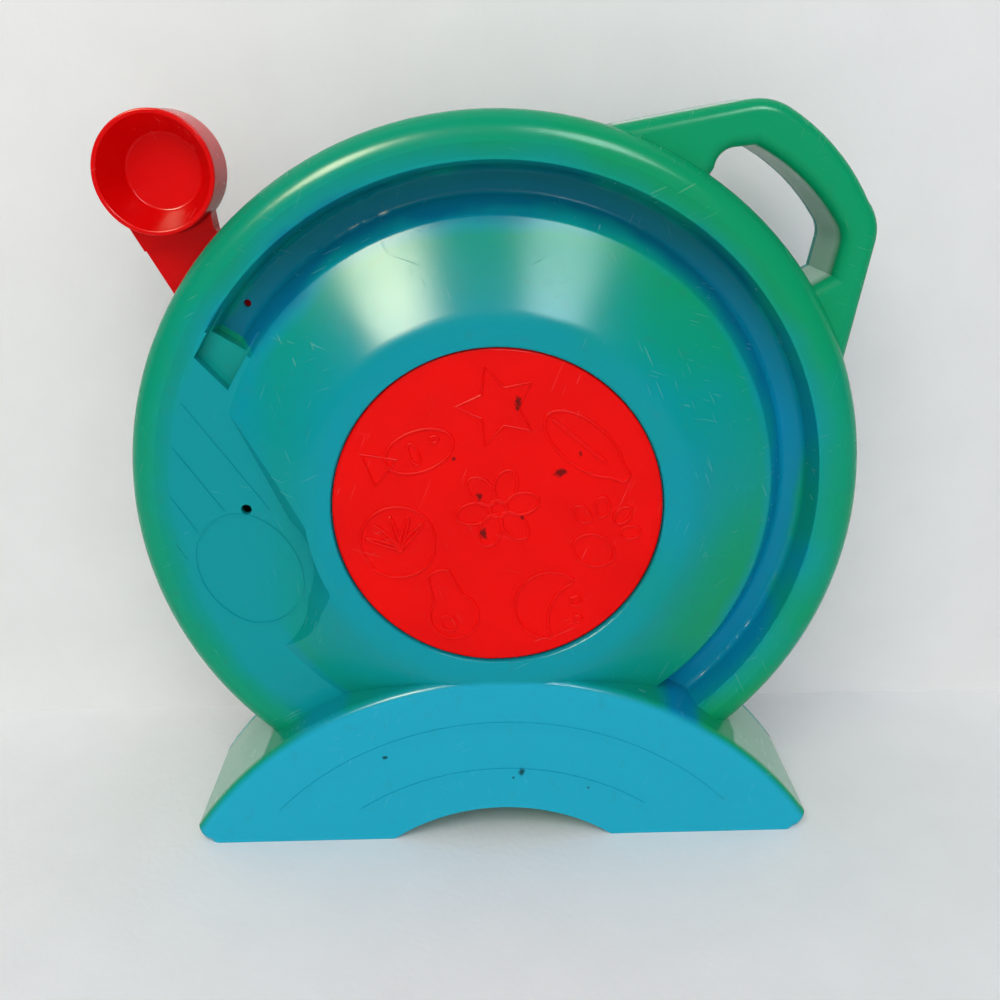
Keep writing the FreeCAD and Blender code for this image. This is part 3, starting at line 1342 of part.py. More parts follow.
def build_lever():
    """Red lever with its round cup, on a steel pin, and the toothed sector that it turns."""
    place = {"across": pivot_across, "up": pivot_up, "turn": d.lever_angle}
    ring("lever_pin", ZERO, d.lever_pin_radius, d.rear_plate_depth, front_plate_front, across=pivot_across,
         up=pivot_up)
    arm = new_body("lever_arm", **place)
    blade = face_sketch(arm, "arm_outline", d.lever_depth)
    right = ZERO - d.arm_right
    hub = d.lever_hub_radius
    draw(blade, [
        (ZERO, ZERO - hub), (d.arm_waist_start, ZERO - hub * 0.8), (d.arm_waist, right), (d.arm_neck, right),
        (d.lever_length - d.knob_radius * 0.8, ZERO - d.knob_radius * 0.4), (d.lever_length, ZERO),
        (d.lever_length, d.knob_radius), (d.arm_waist_start * 2, d.knob_radius), (d.arm_waist_start / 2, hub),
        (ZERO, hub, hub * 1.02),
    ])
    pad(arm, blade, "arm_blade", d.lever_thickness)
    step = face_sketch(arm, "arm_step_outline", d.lever_depth - d.lever_step)
    draw(step, [
        (d.arm_neck, right), (d.lever_length - d.knob_radius * 0.8, ZERO - d.knob_radius * 0.4),
        (d.lever_length, ZERO), (d.lever_length, d.knob_radius), (d.arm_neck + d.arm_step_slant, d.knob_radius),
    ])
    pad(arm, step, "arm_step", d.lever_step + 1)
    knob = face_sketch(arm, "knob_cap_outline", d.knob_seam_depth, d.lever_length)
    draw_circle(knob, d.knob_radius)
    knob_front = d.knob_depth + d.knob_length
    knob_cap = pad(arm, knob, "knob_cap", knob_front - d.knob_seam_depth)

    def knob_front_edge(edge):
        return lies_at(edge, knob_front)

    round_edges(arm, knob_cap, "knob_cap_round", d.knob_round, knob_front_edge)
    cup_front = d.knob_depth + d.knob_cup_depth + d.knob_wall
    socket_radius = d.knob_radius - d.knob_wall * 2
    socket = face_sketch(arm, "knob_socket_outline", d.knob_seam_depth - d.lever_step - 1, d.lever_length)
    draw_circle(socket, socket_radius)
    pocket(arm, socket, "knob_socket", cup_front + d.lip_gap - d.knob_seam_depth + d.lever_step + 1)
    rim = face_sketch(arm, "knob_rim_outline", ZERO, d.lever_length)
    draw_circle(rim, d.knob_radius + d.lip_gap)
    pocket(arm, rim, "knob_rim", d.knob_seam_depth)
    bore = face_sketch(arm, "arm_bore_outline", d.lever_depth - 1)
    draw_circle(bore, d.lever_pin_radius + d.running_gap)
    pocket(arm, bore, "arm_bore", d.lever_thickness + 2)

    # Tapered cup that forms the open side of the knob
    knob_across = pivot_across + d.lever_length * cosine(d.lever_angle)
    knob_up = pivot_up + d.lever_length * sine(d.lever_angle)
    inner_rim = d.knob_radius - d.knob_wall
    cup_floor = d.knob_depth + d.knob_cup_depth
    lathe("knob_cup", rounded([
        (ZERO, cup_floor), (d.knob_floor_radius, cup_floor), (inner_rim, d.knob_depth),
        (d.knob_radius, d.knob_depth), (d.knob_radius, d.knob_seam_depth),
        (d.knob_floor_radius + d.knob_wall * 1.4, d.knob_seam_depth),
        (d.knob_floor_radius + d.knob_wall, cup_front), (ZERO, cup_front),
    ], {1: d.knob_round, 2: d.knob_wall * 0.4, 3: d.knob_wall * 0.4}), across=knob_across, up=knob_up)

    # Toothed sector on the lever's hub
    sector_front = lever_front + d.sector_thickness
    step_angle = FULL_TURN / d.sector_teeth
    mesh_angle = d.lever_pivot_angle - 180
    sector = new_body("sector_gear", across=pivot_across, up=pivot_up, turn=mesh_angle + step_angle * 2 + FULL_TURN)
    tip, _ = gear_radii(d.coarse_module, d.sector_teeth)
    first = step_angle / 2
    last = ZERO - step_angle * (d.sector_gap_count - 0.5)
    web = face_sketch(sector, "sector_outline", lever_front)
    first_place = polar(tip, first)
    last_place = polar(tip, last)
    draw(web, [
        (ZERO - hub, ZERO), (ZERO - hub * 0.8, ZERO - hub * 0.9), (last_place[0], last_place[1], tip), first_place,
        (hub * 0.4, hub), (ZERO - hub * 0.6, hub * 0.8),
    ])
    draw_circle(web, d.lever_pin_radius + d.running_gap)
    pad(sector, web, "sector_web", d.sector_thickness)
    gap = face_sketch(sector, "sector_gap_outline", lever_front - 1)
    draw(gap, tooth_gap(d.coarse_module, d.sector_teeth))
    cut = pocket(sector, gap, "sector_gap", sector_front - lever_front + 2)
    polar_pattern(sector, cut, "sector_teeth", d.sector_gap_count, step_angle * (d.sector_gap_count - 1))


def build_winding():
    """Winding pinion with its pawls, the main spring and its cup."""
    mesh_angle = d.lever_pivot_angle
    pinion_rear = lever_front - d.pinion_overlap
    pinion_front = lever_front + d.sector_thickness + d.pinion_overlap
    turn = mesh_turn(mesh_angle, d.winding_teeth, True)
    gear("winding_pinion", d.coarse_module, d.winding_teeth, bore_radius, pinion_rear, pinion_front, turn=turn)
    carrier_rear = d.ratchet_depth + d.ratchet_thickness + d.lip_gap
    ring("pawl_carrier", bore_radius, d.pawl_plate_radius, carrier_rear, pinion_rear)
    pawls = []
    for number, angle in enumerate((0.0, 180.0), start=1):
        body = new_body("clutch_pawl_%d" % number, turn=as_size(angle))
        outline = face_sketch(body, "pawl_outline_%d" % number, d.ratchet_depth + d.lip_gap)
        inner = d.ratchet_radius + d.lip_gap
        draw(outline, [
            (inner, ZERO), (inner + d.pawl_width, ZERO), (inner + d.pawl_width / 2, d.pawl_length),
            (inner, d.pawl_length * 0.8),
        ])
        pad(body, outline, "pawl_body_%d" % number, carrier_rear - d.ratchet_depth - d.lip_gap)
        pawls.append(body)
    group("clutch_pawls", pawls)
    sleeve_front = d.front_plate_depth - d.bush_overhang - d.lip_gap
    ring("winding_sleeve", bore_radius, d.sleeve_radius, pinion_front, sleeve_front)
    floor_rear = d.front_plate_depth - d.barrel_floor
    inner_wall = d.barrel_radius - d.barrel_floor
    lathe("spring_cup", [
        (d.sleeve_radius + 1, floor_rear), (inner_wall, floor_rear), (inner_wall, d.barrel_depth),
        (d.barrel_radius, d.barrel_depth), (d.barrel_radius, d.front_plate_depth),
        (d.sleeve_radius + 1, d.front_plate_depth),
    ])
    build_main_spring(d.barrel_depth + d.lip_gap * 2, floor_rear - d.lip_gap, inner_wall)


def build_main_spring(near, far, inner_wall):
    """Flat strip wound from the sleeve out to the cup's wall, as half turns about two centres."""
    strip = d.spring_strip.value
    first_radius = d.sleeve_radius.value + d.lip_gap.value
    last_radius = inner_wall.value - d.lip_gap.value - strip
    turns = int(d.spring_half_turns.value)
    step = (last_radius - first_radius) / turns
    edges = {"inside": [], "outside": []}
    for side, extra in (("inside", 0.0), ("outside", strip)):
        for index in range(turns):
            upward = index % 2 == 0
            centre = step / 2 if upward else -step / 2
            radius = first_radius + step * (index + 0.5) + extra
            sense = 1 if upward else -1
            points = [Vector(centre - sense * radius, 0, 0), Vector(centre, 0, sense * radius),
                      Vector(centre + sense * radius, 0, 0)]
            edges[side].append(Part.Arc(*points).toShape())
    inside, outside = edges["inside"], edges["outside"]
    caps = []
    for index, position in ((0, 0), (-1, -1)):
        ends = [chain[index].Vertexes[position].Point for chain in (inside, outside)]
        caps.append(Part.makeLine(*ends))
    wire = Part.Wire(Part.__sortEdges__(inside + outside + caps))
    strip_solid = Part.Face(wire).extrude(Vector(0, (far - near).value, 0))
    spring = DOC.addObject("Part::Feature", "main_spring")
    spring.Label = "main_spring"
    spring.Shape = strip_solid
    spring.Placement = FreeCAD.Placement(Vector(0, (near - d.body_depth / 2).value, d.axis_height.value),
                                         FreeCAD.Rotation())
    PIECES["main_spring"] = spring


def build_governor():
    """Idler shaft with two gears, and the friction governor that holds the record to a steady speed."""
    idler = {"across": idler_across, "up": idler_up}
    back_to_table = d.idler_angle + 180
    pinion_rear = d.gear_depth + d.lip_gap
    pinion_front = d.gear_depth + d.gear_thickness - d.lip_gap
    fit = d.idler_shaft_radius + d.press_gap
    ring("idler_shaft", ZERO, d.idler_shaft_radius, pinion_rear - d.lip_gap, front_plate_front, **idler)
    gear("idler_pinion", d.fine_module, d.idler_pinion_teeth, fit, pinion_rear, pinion_front,
         turn=mesh_turn(back_to_table, d.idler_pinion_teeth, True), **idler)
    wheel_front = d.idler_gear_depth + d.idler_gear_thickness
    gear("idler_gear", d.governor_module, d.idler_gear_teeth, fit, d.idler_gear_depth, wheel_front,
         turn=mesh_turn(d.governor_angle, d.idler_gear_teeth, False), **idler)
    place = {"across": governor_across, "up": governor_up}
    governor_fit = d.governor_shaft_radius + d.press_gap
    ring("governor_shaft", ZERO, d.governor_shaft_radius, d.rear_plate_depth, front_plate_front, **place)
    gear("governor_pinion", d.governor_module, d.governor_pinion_teeth, governor_fit,
         d.idler_gear_depth - d.lip_gap, wheel_front + d.lip_gap,
         turn=mesh_turn(d.governor_angle + 180, d.governor_pinion_teeth, True), **place)
    cup_inner = d.governor_drum_radius - d.wall / 2
    lathe("governor_drum", [
        (d.governor_hub_radius, d.front_plate_depth - d.wall / 2), (cup_inner, d.front_plate_depth - d.wall / 2),
        (cup_inner, d.governor_drum_depth), (d.governor_drum_radius, d.governor_drum_depth),
        (d.governor_drum_radius, d.front_plate_depth), (d.governor_hub_radius, d.front_plate_depth),
    ], **place)
    hub_rear = d.governor_drum_depth + d.lip_gap * 3
    hub_front = hub_rear + d.weight_thickness
    hub = new_body("governor_hub", **place)
    outline = face_sketch(hub, "governor_hub_outline", hub_rear)
    bar = d.governor_hub_radius
    reach = cup_inner - d.weight_width - d.lip_gap
    low = ZERO - bar / 2
    draw(outline, [(ZERO - reach, low), (reach, low), (reach, bar / 2), (ZERO - reach, bar / 2)])
    draw_circle(outline, governor_fit)
    pad(hub, outline, "governor_hub_bar", d.weight_thickness)
    weights = []
    for number, side in enumerate((1, -1), start=1):
        body = new_body("governor_weight_%d" % number, **place)
        outline = face_sketch(body, "weight_outline_%d" % number, hub_rear)
        outer = cup_inner - d.lip_gap
        half = bar
        inner_edge = reach * side
        outer_edge = square_root(outer * outer - half * half) * side
        start, end = (-1, 1) if side > 0 else (1, -1)
        draw(outline, [
            (inner_edge, half * start), (outer_edge, half * start, outer), (outer_edge, half * end),
            (inner_edge, half * end),
        ])
        pad(body, outline, "weight_body_%d" % number, hub_front - hub_rear)
        weights.append(body)
    group("governor_weights", weights)


def check_document():
    """Stop on any object that did not compute, or any piece that is not a valid solid."""
    for item in DOC.Objects:
        if any(state in ("Invalid", "Error") for state in item.State):
            raise RuntimeError("%s did not compute: %s" % (item.Name, item.State))
    for label, piece in PIECES.items():
        if piece.Shape.isNull() or not piece.Shape.isValid() or piece.Shape.Volume <= 0:
            raise RuntimeError("%s is not a valid solid" % label)


def write_parts():
    """Write each piece to its own file."""
    os.makedirs("parts", exist_ok=True)
    for label, piece in sorted(PIECES.items()):
        piece.Shape.exportStep(os.path.join("parts", label + ".step"))
        solids = len(piece.Shape.Solids)
        print("%s: %d solid(s), %.1f mm3" % (label, solids, piece.Shape.Volume))


def main():
    """Build every piece, check it and write it."""
    build_rear_shell()
    build_front_shell()
    build_speaker()
    build_dial()
    build_spindle()
    build_tonearm()
    build_chassis()
    build_lever()
    build_winding()
    build_governor()
    DOC.recompute()
    check_document()
    write_parts()


main()
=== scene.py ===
"""Lever-operated sound spinner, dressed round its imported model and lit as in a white-walled room."""
import logging
import math
from dataclasses import dataclass
from enum import Enum
from typing import Callable, Iterable, Optional

import bpy
from mathutils import Matrix, Vector


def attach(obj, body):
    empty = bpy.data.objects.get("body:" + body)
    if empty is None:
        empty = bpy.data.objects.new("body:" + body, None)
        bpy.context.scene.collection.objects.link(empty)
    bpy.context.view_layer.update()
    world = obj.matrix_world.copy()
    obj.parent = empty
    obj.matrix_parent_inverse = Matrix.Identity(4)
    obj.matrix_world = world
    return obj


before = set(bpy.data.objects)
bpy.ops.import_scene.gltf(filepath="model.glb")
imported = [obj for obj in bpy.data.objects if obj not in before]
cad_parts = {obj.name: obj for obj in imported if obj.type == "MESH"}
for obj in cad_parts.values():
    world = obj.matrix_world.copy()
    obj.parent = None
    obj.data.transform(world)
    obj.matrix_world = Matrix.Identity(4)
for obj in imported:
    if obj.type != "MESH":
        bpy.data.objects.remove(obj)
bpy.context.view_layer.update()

MM = 0.001
AXIS_HEIGHT = 126.7 * MM
REAR = -32.0 * MM
SAME_PLACE = 1e-7
SCRATCH_TURNS = (0.4, 1.25, 2.0, 2.75)
SCRATCH_STRETCH = (1900.0, 190.0, 95.0)
SCRATCH_COLOUR = (0.75, 0.85, 0.82)
SCRATCH_DEPTH = 0.03 * MM
GLOW_REACH = 2.0 * MM
LOG = logging.getLogger("sound_spinner")

Pair = tuple[float, float]
Point = tuple[float, float, float]
Colour = tuple[float, float, float]
Socket = bpy.types.NodeSocket


class Shape(Enum):
    """Motifs drawn on the speaker disc and on the picture dial."""

    FLOWER = "flower"
    STAR = "star"
    LEAF = "leaf"
    DROP = "drop"
    FISH = "fish"
    PAW = "paw"
    MOON = "moon"
    SHELL = "shell"


class NodeSheet:
    """Short calls for building one material's nodes."""

    def __init__(self, name: str) -> None:
        """Start an empty material with a Principled shader.

        Args:
            name: Name of the material.
        """
        self.material = bpy.data.materials.new(name)
        self.material.use_nodes = True
        self.tree = self.material.node_tree
        self.tree.nodes.clear()
        self.output = self.tree.nodes.new("ShaderNodeOutputMaterial")
        self.shader = self.tree.nodes.new("ShaderNodeBsdfPrincipled")
        self.tree.links.new(self.shader.outputs["BSDF"], self.output.inputs["Surface"])
        self._object: Optional[Socket] = None

    def link(self, value: object, socket: Socket) -> None:
        """Feed a socket from another socket, or set it to a number or a colour.

        Args:
            value: Socket, number or tuple.
            socket: Input socket.
        """
        if isinstance(value, bpy.types.NodeSocket):
            self.tree.links.new(value, socket)
        elif isinstance(value, tuple) and len(value) == 3 and socket.type == "RGBA":
            socket.default_value = (*value, 1.0)
        else:
            socket.default_value = value

    def place(self) -> Socket:
        """Object coordinates."""
        if self._object is None:
            self._object = self.tree.nodes.new("ShaderNodeTexCoord").outputs["Object"]
        return self._object

    def math(self, kind: str, first: object, second: object = 0.0, third: object = 0.0,
             clamp: bool = False) -> Socket:
        """One Math node.

        Args:
            kind: Operation, as Blender names it.
            first: First value.
            second: Second value.
            third: Third value.
            clamp: Whether the result is held between 0 and 1.

        Returns:
            The result's socket.
        """
        node = self.tree.nodes.new("ShaderNodeMath")
        node.operation = kind
        node.use_clamp = clamp
        for index, value in enumerate((first, second, third)):
            self.link(value, node.inputs[index])
        return node.outputs[0]

    def times(self, first: object, second: object) -> Socket:
        """Product of two values."""
        return self.math("MULTIPLY", first, second)

    def inverse(self, value: object) -> Socket:
        """1 less the value."""
        return self.math("SUBTRACT", 1.0, value)

    def split(self, vector: Socket) -> tuple[Socket, Socket, Socket]:
        """The three parts of a vector.

        Args:
            vector: Vector's socket.

        Returns:
            Sockets of X, Y and Z.
        """
        node = self.tree.nodes.new("ShaderNodeSeparateXYZ")
        self.link(vector, node.inputs[0])
        return node.outputs[0], node.outputs[1], node.outputs[2]

    def mapped(self, scale: Point, shift: Point = (0.0, 0.0, 0.0)) -> Socket:
        """Object coordinates stretched and moved.

        Args:
            scale: Scale on each axis.
            shift: Offset in metres.

        Returns:
            The vector's socket.
        """
        node = self.tree.nodes.new("ShaderNodeMapping")
        self.link(self.place(), node.inputs["Vector"])
        node.inputs["Scale"].default_value = scale
        node.inputs["Location"].default_value = shift
        return node.outputs[0]

    def noise(self, scale: float, detail: float, vector: Optional[Socket] = None) -> Socket:
        """Smooth noise between 0 and 1.

        Args:
            scale: Cells per metre.
            detail: Octaves.
            vector: Coordinates, or None for the object's own.

        Returns:
            The value's socket.
        """
        node = self.tree.nodes.new("ShaderNodeTexNoise")
        self.link(vector or self.place(), node.inputs["Vector"])
        node.inputs["Scale"].default_value = scale
        node.inputs["Detail"].default_value = detail
        return node.outputs["Fac"]

    def wobble(self, scale: float, detail: float, reach: float) -> Socket:
        """Noise about zero, up to half the reach either way."""
        return self.times(self.math("SUBTRACT", self.noise(scale, detail), 0.5), reach)

    def ramp(self, value: Socket, stops: Iterable[tuple[float, object]], steps: bool = False) -> Socket:
        """Colour ramp.

        Args:
            value: Input between 0 and 1.
            stops: Pairs of position and grey level or colour.
            steps: Whether colours change in steps.

        Returns:
            The colour's socket.
        """
        node = self.tree.nodes.new("ShaderNodeValToRGB")
        node.color_ramp.interpolation = "CONSTANT" if steps else "LINEAR"
        elements = node.color_ramp.elements
        for index, (position, colour) in enumerate(stops):
            spot = elements[index] if index < 2 else elements.new(position)
            spot.position = position
            grey = (colour,) * 3 if isinstance(colour, float) else colour
            spot.color = (*grey, 1.0)
        self.link(value, node.inputs[0])
        return node.outputs[0]

    def mix(self, factor: object, first: object, second: object) -> Socket:
        """Mix of two colours.

        Args:
            factor: Share of the second colour.
            first: First colour.
            second: Second colour.

        Returns:
            The colour's socket.
        """
        node = self.tree.nodes.new("ShaderNodeMix")
        node.data_type = "RGBA"
        self.link(factor, node.inputs[0])
        self.link(first, node.inputs[6])
        self.link(second, node.inputs[7])
        return node.outputs[2]

    def band(self, value: Socket, low: float, high: float) -> Socket:
        """A value stretched to run from 0 to 1 between two levels, and held there outside them.

        Args:
            value: Value's socket.
            low: Level that gives 0.
            high: Level that gives 1, above or below the other.

        Returns:
            The result's socket.
        """
        node = self.tree.nodes.new("ShaderNodeMapRange")
        self.link(value, node.inputs["Value"])
        node.inputs["From Min"].default_value = low
        node.inputs["From Max"].default_value = high
        return node.outputs[0]

    def away(self, across: float, up: float, squash: float = 1.0) -> Socket:
        """Distance from a line along Y.

        Args:
            across: X of the line in metres.
            up: Z of the line in metres.
            squash: Stretch of the distance along Z.

        Returns:
            The distance's socket, in metres.
        """
        x, _, z = self.split(self.place())
        run = self.math("SUBTRACT", x, across)
        rise = self.times(self.math("SUBTRACT", z, up), squash)
        return self.math("SQRT", self.math("ADD", self.times(run, run), self.times(rise, rise)))

    def scratches(self) -> Socket:
        """Fine straight scratches in four directions.

        Returns:
            Mask, 1 on a scratch.
        """
        total: object = 0.0
        for turn in SCRATCH_TURNS:
            turned = self.tree.nodes.new("ShaderNodeVectorRotate")
            turned.rotation_type = "Y_AXIS"
            self.link(self.place(), turned.inputs["Vector"])
            turned.inputs["Center"].default_value = (turn, 0.0, turn)
            turned.inputs["Angle"].default_value = turn
            stretched = self.tree.nodes.new("ShaderNodeVectorMath")
            stretched.operation = "MULTIPLY"
            self.link(turned.outputs[0], stretched.inputs[0])
            stretched.inputs[1].default_value = SCRATCH_STRETCH
            lines = self.noise(1.0, 0.0, stretched.outputs[0])
            sparse = self.noise(30.0, 1.0, self.mapped((1.0, 1.0, 1.0), (turn, turn, turn)))
            line = self.times(self.band(lines, 0.78, 0.81), self.band(sparse, 0.56, 0.66))
            total = self.math("MAXIMUM", total, line)
        return total

    def bump(self, height: Socket, depth: float, strength: float) -> None:
        """Add a bump to the shader.

        Args:
            height: Height between 0 and 1.
            depth: Height of 1 in metres.
            strength: Share of the effect.
        """
        node = self.tree.nodes.new("ShaderNodeBump")
        node.inputs["Strength"].default_value = strength
        node.inputs["Distance"].default_value = depth
        self.link(height, node.inputs["Height"])
        earlier = self.shader.inputs["Normal"].links
        if earlier:
            self.tree.links.new(earlier[0].from_socket, node.inputs["Normal"])
        self.tree.links.new(node.outputs[0], self.shader.inputs["Normal"])


@dataclass(frozen=True)
class Finish:
    """A finish with its colour, gloss and fine texture."""

    name: str
    colour: Colour
    roughness: float = 0.35
    spread: float = 0.1
    metallic: float = 0.0
    coat: float = 0.0
    grain: float = 900.0
    grain_depth: float = 0.02 * MM
    mottling: float = 0.12
    scuffs: float = 0.0
    glow_through: float = 0.0
    specular: float = 0.5

    def paint(self, sheet: NodeSheet) -> Socket:
        """Colour of the surface before wear.

        Args:
            sheet: Node sheet to draw on.

        Returns:
            The colour's socket.
        """
        cloud = sheet.noise(38.0, 3.0)
        dark = tuple(part * (1.0 - self.mottling) for part in self.colour)
        light = tuple(min(1.0, part * (1.0 + self.mottling)) for part in self.colour)
        return sheet.ramp(cloud, ((0.3, dark), (0.7, light)))

    def lay_out(self) -> NodeSheet:
        """Draw the finish on a node sheet.

        Returns:
            The sheet.
        """
        sheet = NodeSheet(self.name)
        shader = sheet.shader
        colour = self.paint(sheet)
        rough = sheet.math("ADD", sheet.wobble(55.0, 4.0, self.spread * 2.0), self.roughness)
        if self.scuffs > 0.0:
            marks = sheet.scratches()
            colour = sheet.mix(sheet.times(marks, self.scuffs), colour, SCRATCH_COLOUR)
            rough = sheet.math("ADD", rough, sheet.times(marks, 0.25))
            sheet.bump(sheet.inverse(marks), SCRATCH_DEPTH, 0.6)
        sheet.link(colour, shader.inputs["Base Color"])
        sheet.link(sheet.math("MAXIMUM", rough, 0.05), shader.inputs["Roughness"])
        shader.inputs["Metallic"].default_value = self.metallic
        shader.inputs["Coat Weight"].default_value = self.coat
        shader.inputs["Specular IOR Level"].default_value = self.specular
        shader.inputs["Coat Roughness"].default_value = 0.12
        shader.inputs["Subsurface Weight"].default_value = self.glow_through
        shader.inputs["Subsurface Radius"].default_value = (GLOW_REACH, GLOW_REACH, GLOW_REACH)
        if self.grain_depth > 0.0:
            sheet.bump(sheet.noise(self.grain, 3.0), self.grain_depth, 0.5)
        return sheet

    def build(self) -> bpy.types.Material:
        """Make the material."""
        return self.lay_out().material


@dataclass(frozen=True)
class Smudge:
    """A dark mark on the rear side, in millimetres from the middle and from the floor."""

    across: float
    up: float
    size: float
    squash: float = 1.0


@dataclass(frozen=True)
class Stain:
    """Colour and edge of one finish's dark marks."""

    marks: tuple[Smudge, ...]
    colour: Colour
    strength: float
    ragged: float
    core: float
    cells: float
    detail: float

    def over(self, sheet: NodeSheet, colour: Socket) -> Socket:
        """Lay the marks over a colour.

        Args:
            sheet: Node sheet to draw on.
            colour: Colour below the marks.

        Returns:
            The colour's socket.
        """
        for mark in self.marks:
            wander = sheet.wobble(self.cells, self.detail, mark.size * self.ragged * MM)
            reach = sheet.math("ADD", wander, sheet.away(mark.across * MM, mark.up * MM, mark.squash))
            spot = sheet.band(reach, mark.size * MM, mark.size * self.core * MM)
            colour = sheet.mix(sheet.times(spot, self.strength), colour, self.colour)
        return colour


SHELL_STAIN = Stain(
    marks=(
        Smudge(-41.5, 34.5, 1.2, 1.3), Smudge(7.0, 27.5, 1.5, 0.8), Smudge(4.0, 25.0, 0.6),
        Smudge(31.0, 20.0, 0.5),
    ),
    colour=(0.006, 0.02, 0.02), strength=0.85, ragged=1.6, core=0.5, cells=420.0, detail=2.0)
DISC_STAIN = Stain(
    marks=(
        Smudge(20.6, 139.5, 2.2, 1.5), Smudge(-6.0, 132.0, 1.2, 0.8), Smudge(7.0, 163.0, 1.3, 0.6),
        Smudge(-5.0, 119.0, 1.6, 0.8), Smudge(8.0, 124.5, 0.9), Smudge(27.0, 146.0, 0.8, 0.6),
        Smudge(-14.0, 145.0, 0.7),
    ),
    colour=(0.02, 0.004, 0.004), strength=0.8, ragged=2.4, core=0.4, cells=700.0, detail=3.0)


@dataclass(frozen=True)
class GreenRimShell(Finish):
    """Turquoise plastic, painted greener towards the rim and on its outer and sloping faces."""

    green: Colour = (0.003, 0.3, 0.125)
    # Painted shade: the ring channel is painted a darker blue, and darker still under the upper rim, where
    # the rim's shadow falls.
    painted_channel_shade: Colour = (0.001, 0.2, 0.5)
    painted_rim_shadow: Colour = (0.0006, 0.055, 0.2)
    front: Colour = (0.013, 0.37, 0.53)
    # Painted sheen: a paler colour for the outer side faces, standing in for the light and the white room's
    # reflection on them.
    painted_side_sheen: Colour = (0.36, 0.56, 0.46)
    grime: Colour = (0.05, 0.16, 0.12)
    stain: Stain = SHELL_STAIN
    foot_centre: float = -70.1 * MM
    ring_reach: float = 200.0
    green_rings: tuple[Pair, ...] = (
        (0.0, 0.0), (60.0, 0.06), (72.0, 0.3), (90.0, 0.55), (93.6, 0.1), (106.0, 0.05), (112.0, 0.45),
        (117.0, 0.8), (126.0, 0.9), (200.0, 0.85),
    )
    # Where the painted channel shade lies, by distance from the axis.
    trough_rings: tuple[Pair, ...] = (
        (0.0, 0.0), (93.2, 0.0), (98.0, 0.75), (107.0, 0.6), (110.4, 0.0), (200.0, 0.0),
    )

    def rings(self, sheet: NodeSheet, radius: Socket, levels: Iterable[Pair]) -> Socket:
        """A level that changes with the distance from the axis.

        Args:
            sheet: Node sheet to draw on.
            radius: Distance from the axis in metres.
            levels: Pairs of millimetres from the axis and level.

        Returns:
            The level's socket.
        """
        share = sheet.band(radius, 0.0, self.ring_reach * MM)
        return sheet.ramp(share, tuple((out / self.ring_reach, level) for out, level in levels))

    def green_share(self, sheet: NodeSheet, radius: Socket, foot: Socket) -> Socket:
        """Share of green, high at the rim and on the sides, low on the sunken panel and on the foot.

        Args:
            sheet: Node sheet to draw on.
            radius: Distance from the axis in metres.
            foot: Mask of the foot's rear face.

        Returns:
            The share's socket.
        """
        x, y, _ = sheet.split(sheet.place())
        greenness = self.rings(sheet, radius, self.green_rings)
        patches = sheet.band(sheet.noise(11.0, 2.0), 0.44, 0.58)
        right_side = sheet.band(x, -20.0 * MM, 60.0 * MM)
        greenness = sheet.math("MULTIPLY_ADD", sheet.times(patches, right_side), 0.4, greenness, clamp=True)
        panel = sheet.times(sheet.band(x, -70.0 * MM, -82.0 * MM), sheet.band(radius, 112.0 * MM, 106.0 * MM))
        greenness = sheet.times(greenness, sheet.inverse(sheet.times(panel, 0.75)))
        greenness = sheet.times(greenness, sheet.inverse(sheet.times(foot, 0.92)))
        side = sheet.band(y, -20.0 * MM, -4.0 * MM)
        return sheet.math("MAXIMUM", greenness, sheet.times(side, 0.85))

    def in_trough(self, sheet: NodeSheet, radius: Socket, foot: Socket) -> Socket:
        """Mask of the ring channel, as far round as it runs, where shade is painted.

        Args:
            sheet: Node sheet to draw on.
            radius: Distance from the axis in metres.
            foot: Mask of the foot's rear face.

        Returns:
            The mask's socket.
        """
        x, _, z = sheet.split(sheet.place())
        bearing = sheet.math("ARCTAN2", sheet.math("SUBTRACT", z, AXIS_HEIGHT), x)
        along = sheet.math("COMPARE", bearing, math.radians(43.0), math.radians(104.0))
        across = self.rings(sheet, radius, self.trough_rings)
        return sheet.times(sheet.times(across, along), sheet.inverse(foot))

    def paint(self, sheet: NodeSheet) -> Socket:
        """Turquoise, greener towards the rim and on the sides, bluer on the foot, with painted shade in the
        channel that darkens to a painted shadow under the rim, and a painted sheen on the outer side faces.

        Args:
            sheet: Node sheet to draw on.

        Returns:
            The colour's socket.
        """
        _, y, z = sheet.split(sheet.place())
        radius = sheet.math("ADD", sheet.away(0.0, AXIS_HEIGHT), sheet.wobble(22.0, 3.0, 18.0 * MM))
        on_foot = sheet.band(sheet.away(0.0, self.foot_centre), 134.5 * MM, 132.5 * MM)
        foot = sheet.times(on_foot, sheet.band(y, -27.0 * MM, -29.5 * MM))
        colour = sheet.mix(self.green_share(sheet, radius, foot), self.colour, self.green)
        # Painted shade in the channel, turning to a painted shadow towards the upper rim.
        under_rim = sheet.band(z, AXIS_HEIGHT + 20.0 * MM, AXIS_HEIGHT + 85.0 * MM)
        shadow = sheet.mix(under_rim, self.painted_channel_shade, self.painted_rim_shadow)
        colour = sheet.mix(self.in_trough(sheet, radius, foot), colour, shadow)
        colour = sheet.mix(foot, colour, self.front)
